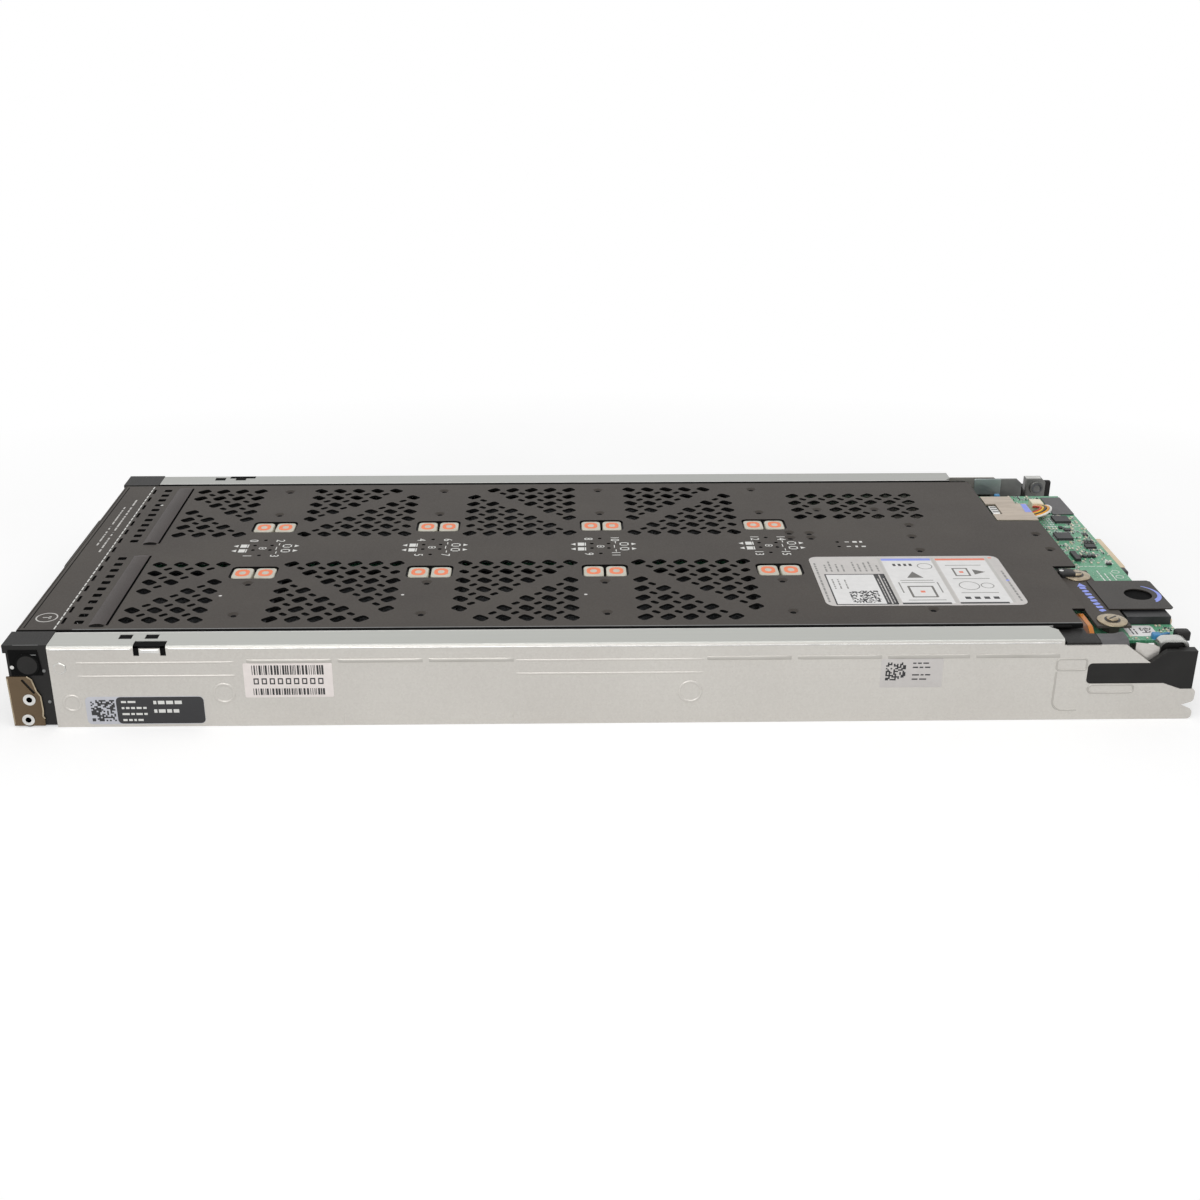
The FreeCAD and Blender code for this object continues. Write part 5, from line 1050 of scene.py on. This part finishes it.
def connector_shells():
    """Connector bodies under the board: two blocks with two rows of contact openings right through and a dark sheet
    of painted shade behind each, and a plain dark block between them."""
    inner, outer, z, height, pitch = 282, 297.5, 30.2, 12.4, 2.4
    shells = []
    backs = [slab(rounded(6.5, height, 0.8) + (-16.75, z), inner, outer, 1.2, "x")]
    for near, far in ((-13, 30), (-84, -58)):
        middle, width = (near + far) / 2, far - near
        count = int(width / pitch) - 1
        places = middle + (np.arange(count) - (count - 1) / 2) * pitch
        rows = [(y, level, 1.3, 3.4, 0) for y in places for level in (27.6, 32.8)]
        shells.append(pierced(rounded(width, height, 0.8) + (middle, z), slots(rows, 0.4), outer, inner, "x"))
        # painted shade behind the contact openings
        backs.append(blocks([(inner + 1, inner + 2, near + 1, far - 1, 25, 35.4)]))
    piece("port_shells", shells, "sled", BEIGE, hides=["rear_connectors"])
    piece("port_block_and_shades", backs, "sled", CHIP_BLACK_AND_SHADE, 40)


def near_corner():
    """Steel strap, black plug, inner flange, slide cover and cable clamp at the near rear corner, and the board's
    blue clips."""
    corner = unit(np.linspace(0, np.pi / 2, 6))
    outer, inner = (
        np.array([(rear, 30), *((rear - wide, z) + corner * (wide, rise)),
                  *((front + wide, z) + corner[::-1] * (-wide, rise)), (front, 30)])
        for front, rear, wide, rise, z in ((277, 292.5, 4, 4.6, 37.3), (278.3, 291.2, 3, 3.7, 36.7)))
    edges = ((outer, -119.7), (inner, -119.7), (inner, -113.9), (outer, -113.9))
    band = loft(np.stack([laid(edge, y, "y") for edge, y in edges], 1))
    piece("near_strap", band, "sled", STRAP_STEEL_AND_HIGHLIGHT, 40, hides=["near_corner_bracket"])
    fitting("near_strap_core", rounded(12.4, 9, 2) + (284.75, 35), -114.2, -118.2, 0.8, BLACK_PLASTIC,
            "y")
    fitting("near_plug", rounded(7.6, 5.6, 1.4) + (291.8, -110.4), BOARD_TOP + 0.05, 42.8, 1.0, BLACK_PLASTIC)
    flange = [(264.6, 29), (276.7, 29), (276.7, 38.6), (274, 40), (264.6, 41.2)]
    piece("near_flange", pierced(flange, [], -121.9, -120.9, "y"), "sled", ZINC)
    cover = [(229.2, -123.5), (246.7, -123.5), (246.7, -112.7), (242.6, -112.7), (242.6, -104.5), (229.2, -104.5)]
    piece("near_slide_cover", slab(cover, 40.6, 42.4, 0.4), "sled", BLACK_PLASTIC, 30)
    bend = (-119.8, 38.5) + 3.9 * unit(np.radians(np.linspace(180, 90, 7)))
    section = np.array([(-123.75, 33.2), *bend, (-113, 42.4), (-112.6, 42), (-112.6, 33.2)])
    stations = np.linspace(246.9, 260.6, 14)
    rings = [laid(section + np.outer(section[:, 1] > 38, (0, lift)), x, "x")
             for x, lift in zip(stations, eased_step((stations - 255) / 5))]
    piece("clamp_cover", loft(rings), "sled", GREY_FILM, 40, hides=["cable_clamp"])
    clips = [slab(rounded(4.4, 4, 1) + (279.2, -109.6), BOARD_TOP, 40.8, 0.6),
             slab(rounded(3.4, 3, 0.8) + (253.7, 96), BOARD_TOP, 40.2, 0.6),
             slab(slots((284, -107.6, 7, 1.6, 20), 0.7), BOARD_TOP, 39.8, 0.4)]
    piece("board_clips", clips, "sled", BLUE_PLASTIC, 40)


def far_corner():
    """Inner flange and dark end plate on the far wall, and the faceted far bracket in a darker steel of painted
    shade:
    a bright strip of painted highlight on its top, the black plate behind it and a dark sheet of painted shade in
    the screw socket of its boss."""
    fitting("far_flange", rounded(17, 10.4, 0.8) + (252, 39.2), 113.4, 112.6, 0.2, SHADED_ZINC, "y")
    plate = [(255, 31), (274.6, 31), (274.6, 40.6), (271, 43.9), (255, 43.9)]
    fitting("far_end_plate", plate, 115.2, 113.9, 0.3, DUSK_STEEL, "y")
    screw = (284.1, 112.4, 38)
    block = slab([(277, 30.2), (289.8, 30.2), (289.8, 41.4), (287.4, 44), (277, 44)], 119.6, 113.9, 0.5, "y")
    boss = spun([(4.5, 1.6), (4.5, 0.3), (4.2, 0), (3.4, 0)], screw, "y")
    piece("far_bracket_block", [block, boss], "sled", BRACKET_STEEL_SHADED, 40, hides=["far_corner_bracket"])
    # painted highlight: a bright strip on the bracket's top
    cap = [(277.4, 114.6), (287, 114.6), (287, 119.2), (277.4, 119.2)]
    fitting("far_bracket_top_highlight", cap, 43.9, 44.02, 0.05, STRAP_STEEL_AND_HIGHLIGHT)
    fitting("far_bracket_back", rounded(6, 12, 1) + (291.4, 35.2), 119.6, 117.4, 0.5, BLACK_PLASTIC,
            "y")
    collar = [(1.9, 0.9), (2.0, -0.05), (2.5, -0.35), (3.2, -0.3), (3.5, 0.1), (3.5, 0.9)]
    piece("far_bracket_collar", spun(collar, screw, "y"), "sled", SINK, 40)
    # painted shade in the screw socket
    socket = [(AXIS, 0.8), (1.95, 0.8), (1.95, 0.1), (AXIS, 0.15)]
    piece("far_bracket_socket_shade", spun(socket, screw, "y"), "sled", SHADE, 40)


captive_screws()
flat_cable()
pull_tab_print()
board_small_parts()
bracket_details()
connector_leads()
connector_shells()
near_corner()
far_corner()


# Drive ends, seen when the drawer is out

def drive_ends():
    """Vented end plate with a lever and a lamp on each of the sixteen drives."""
    plates, levers, lamps = [], [], []
    for x, s, z in [(x, s, z) for x in COLUMNS for s in SIDES for z in (10.8, 28.4)]:
        face = s * 107.9
        rows = [(x - 6 + 4.4 * k, z, 2.6, 7.6, 0) for k in range(8)]
        plates.append(pierced(rounded(67, 13.2, 1.6) + (x, z), slots(rows, 1.2), face, s * 106.85, "y"))
        levers.append(slab(rounded(18, 6.4, 2.6) + (x - 21, z), face, s * 108.7, 0.5, "y"))
        lamps.append(slab(circles((x + 30.6, z + 2), 1.0, 12), face, s * 108.1, 0.15, "y"))
    piece("drive_end_plates", plates, "drawer", BLACK_PLASTIC)
    piece("drive_levers", levers, "drawer", BUTTON, 40)
    piece("drive_lamps", lamps, "drawer", RING, 40)


drive_ends()


# Finishes of the nodes that keep their shape

painted(FAR_ZINC_SHADED_LIP, "far_side_wall")
painted(ZINC, "near_side_wall", "base_plate", "near_slide_rail", "far_slide_rail", "board_carrier")
painted(BLACK_COAT, "near_drawer_runner", "far_drawer_runner", "drawer_floor", "control_module")
painted(BLACK_PLASTIC, "drawer_front", "front_grille", "near_guide_arm", "far_guide_arm")
# painted shade: the bay frames darkened so that the vents read dark
painted(DARK_SHADE_STEEL, "bay_frames")
painted(BRIGHT, "handle_pin")
painted(BUTTON, "drawer_release_button")
# drives: their own dark colour and painted shade
painted(DRIVE_CASE_AND_SHADE, *[f"drive_pair_{side}_{column}" for side in ("near", "far") for column in range(1, 5)])
painted(BOARD, "spine_board", "expander_board", "rear_board")
painted(CHIP_BLACK_AND_SHADE, "board_parts", "drive_sockets")
painted(CREAM, "wire_connector")
painted(TAN, "slotted_bracket")
painted(FILM, "pull_tab")
painted(SINK, "heat_sinks")


# Floor, light and camera

def seen_rays(tree):
    """1 for rays that show the background: from the camera, off gloss and through clear pieces."""
    rays = node(tree, "LightPath", {})
    seen = rays["Is Camera Ray"]
    for name in ("Is Glossy Ray", "Is Transmission Ray"):
        seen = node(tree, "Math", {0: seen, 1: rays[name]}, operation="MAXIMUM")[0]
    return seen


def mixed(tree, factor, first, second):
    """Two shaders mixed by a factor."""
    return node(tree, "MixShader", {0: factor, 1: first, 2: second})[0]


def pale_floor():
    """Floor finish: pale and matt, lifted to white where it is seen, and plain white far from the object."""
    finish, tree, shader, place = blank("pale_floor", 0.7, shine=0.0)
    grey = tones(tree, mottle(tree, place, 3), (0.6, 0.6, 0.6, 1), (0.64, 0.64, 0.64, 1))
    tree.links.new(grey, shader.inputs["Base Color"])
    matt = shader.outputs[0]
    glow, white = (node(tree, "Emission", {"Strength": strength})[0] for strength in (0.45, 1.0))
    lifted = node(tree, "AddShader", {0: matt, 1: glow})[0]
    reach = node(tree, "VectorMath", {0: stretched(tree, place, (1, 1.6, 1))}, operation="LENGTH")["Value"]
    seen = mixed(tree, ranged(tree, reach, 0.45, 0.75), lifted, white)
    tree.links.new(mixed(tree, seen_rays(tree), matt, seen), tree.nodes["Material Output"].inputs["Surface"])
    return finish


def studio():
    """Pale floor, white surroundings and two broad soft lamps aimed at the object."""
    mesh = bpy.data.meshes.new("floor")
    half, level = 9, -0.0002
    mesh.from_pydata([(-half, -half, level), (half, -half, level), (half, half, level), (-half, half, level)], [],
                     [(0, 1, 2, 3)])
    floor = linked("floor", mesh)
    mesh.materials.append(pale_floor())
    world = bpy.data.worlds.new("studio")
    bpy.context.scene.world = world
    world.use_nodes = True
    tree = world.node_tree
    dim, white = (node(tree, "Background", {"Color": (1, 1, 1, 1), "Strength": strength})[0] for strength in (0.6, 1))
    tree.links.new(mixed(tree, seen_rays(tree), dim, white), tree.nodes["World Output"].inputs["Surface"])
    for name, place, size, power in (("top_strip", (0, -0.62, 1.5), (2.4, 0.35), 7),
                                     ("front_softbox", (-0.5, -1.8, 0.8), (1.2, 1.2), 10)):
        lamp = bpy.data.lights.new(name, "AREA")
        lamp.shape = "RECTANGLE"
        lamp.size, lamp.size_y = size
        lamp.energy = power
        aim = Vector(place).to_track_quat("Z", "Y").to_matrix().to_4x4()
        linked(name, lamp).matrix_world = Matrix.Translation(place) @ aim


def photo_camera():
    """Camera at the photograph's place and turn, with its principal point off the frame's middle."""
    place, pitch, yaw, roll = (-0.02392, -0.79433, 0.36877), 0.41274, -0.01738, -0.00070
    pixels, focal, principal = 1200, 1507.111, (581.875, 585.914)
    lens = bpy.data.cameras.new("photo_camera")
    lens.sensor_width = 36
    lens.lens = lens.sensor_width * focal / pixels
    lens.shift_x = 0.5 - principal[0] / pixels
    lens.shift_y = principal[1] / pixels - 0.5
    lens.clip_start = 0.01
    camera = linked("photo_camera", lens)
    turn = Matrix.Rotation(yaw, 3, "Z") @ Matrix.Rotation(-pitch, 3, "X") @ Matrix.Rotation(roll, 3, "Y")
    level_view = Matrix.Rotation(math.pi / 2, 3, "X")
    camera.matrix_world = Matrix.Translation(place) @ (turn @ level_view).to_4x4()
    bpy.context.scene.camera = camera


studio()
photo_camera()
bpy.context.scene.view_settings.view_transform = "Standard"
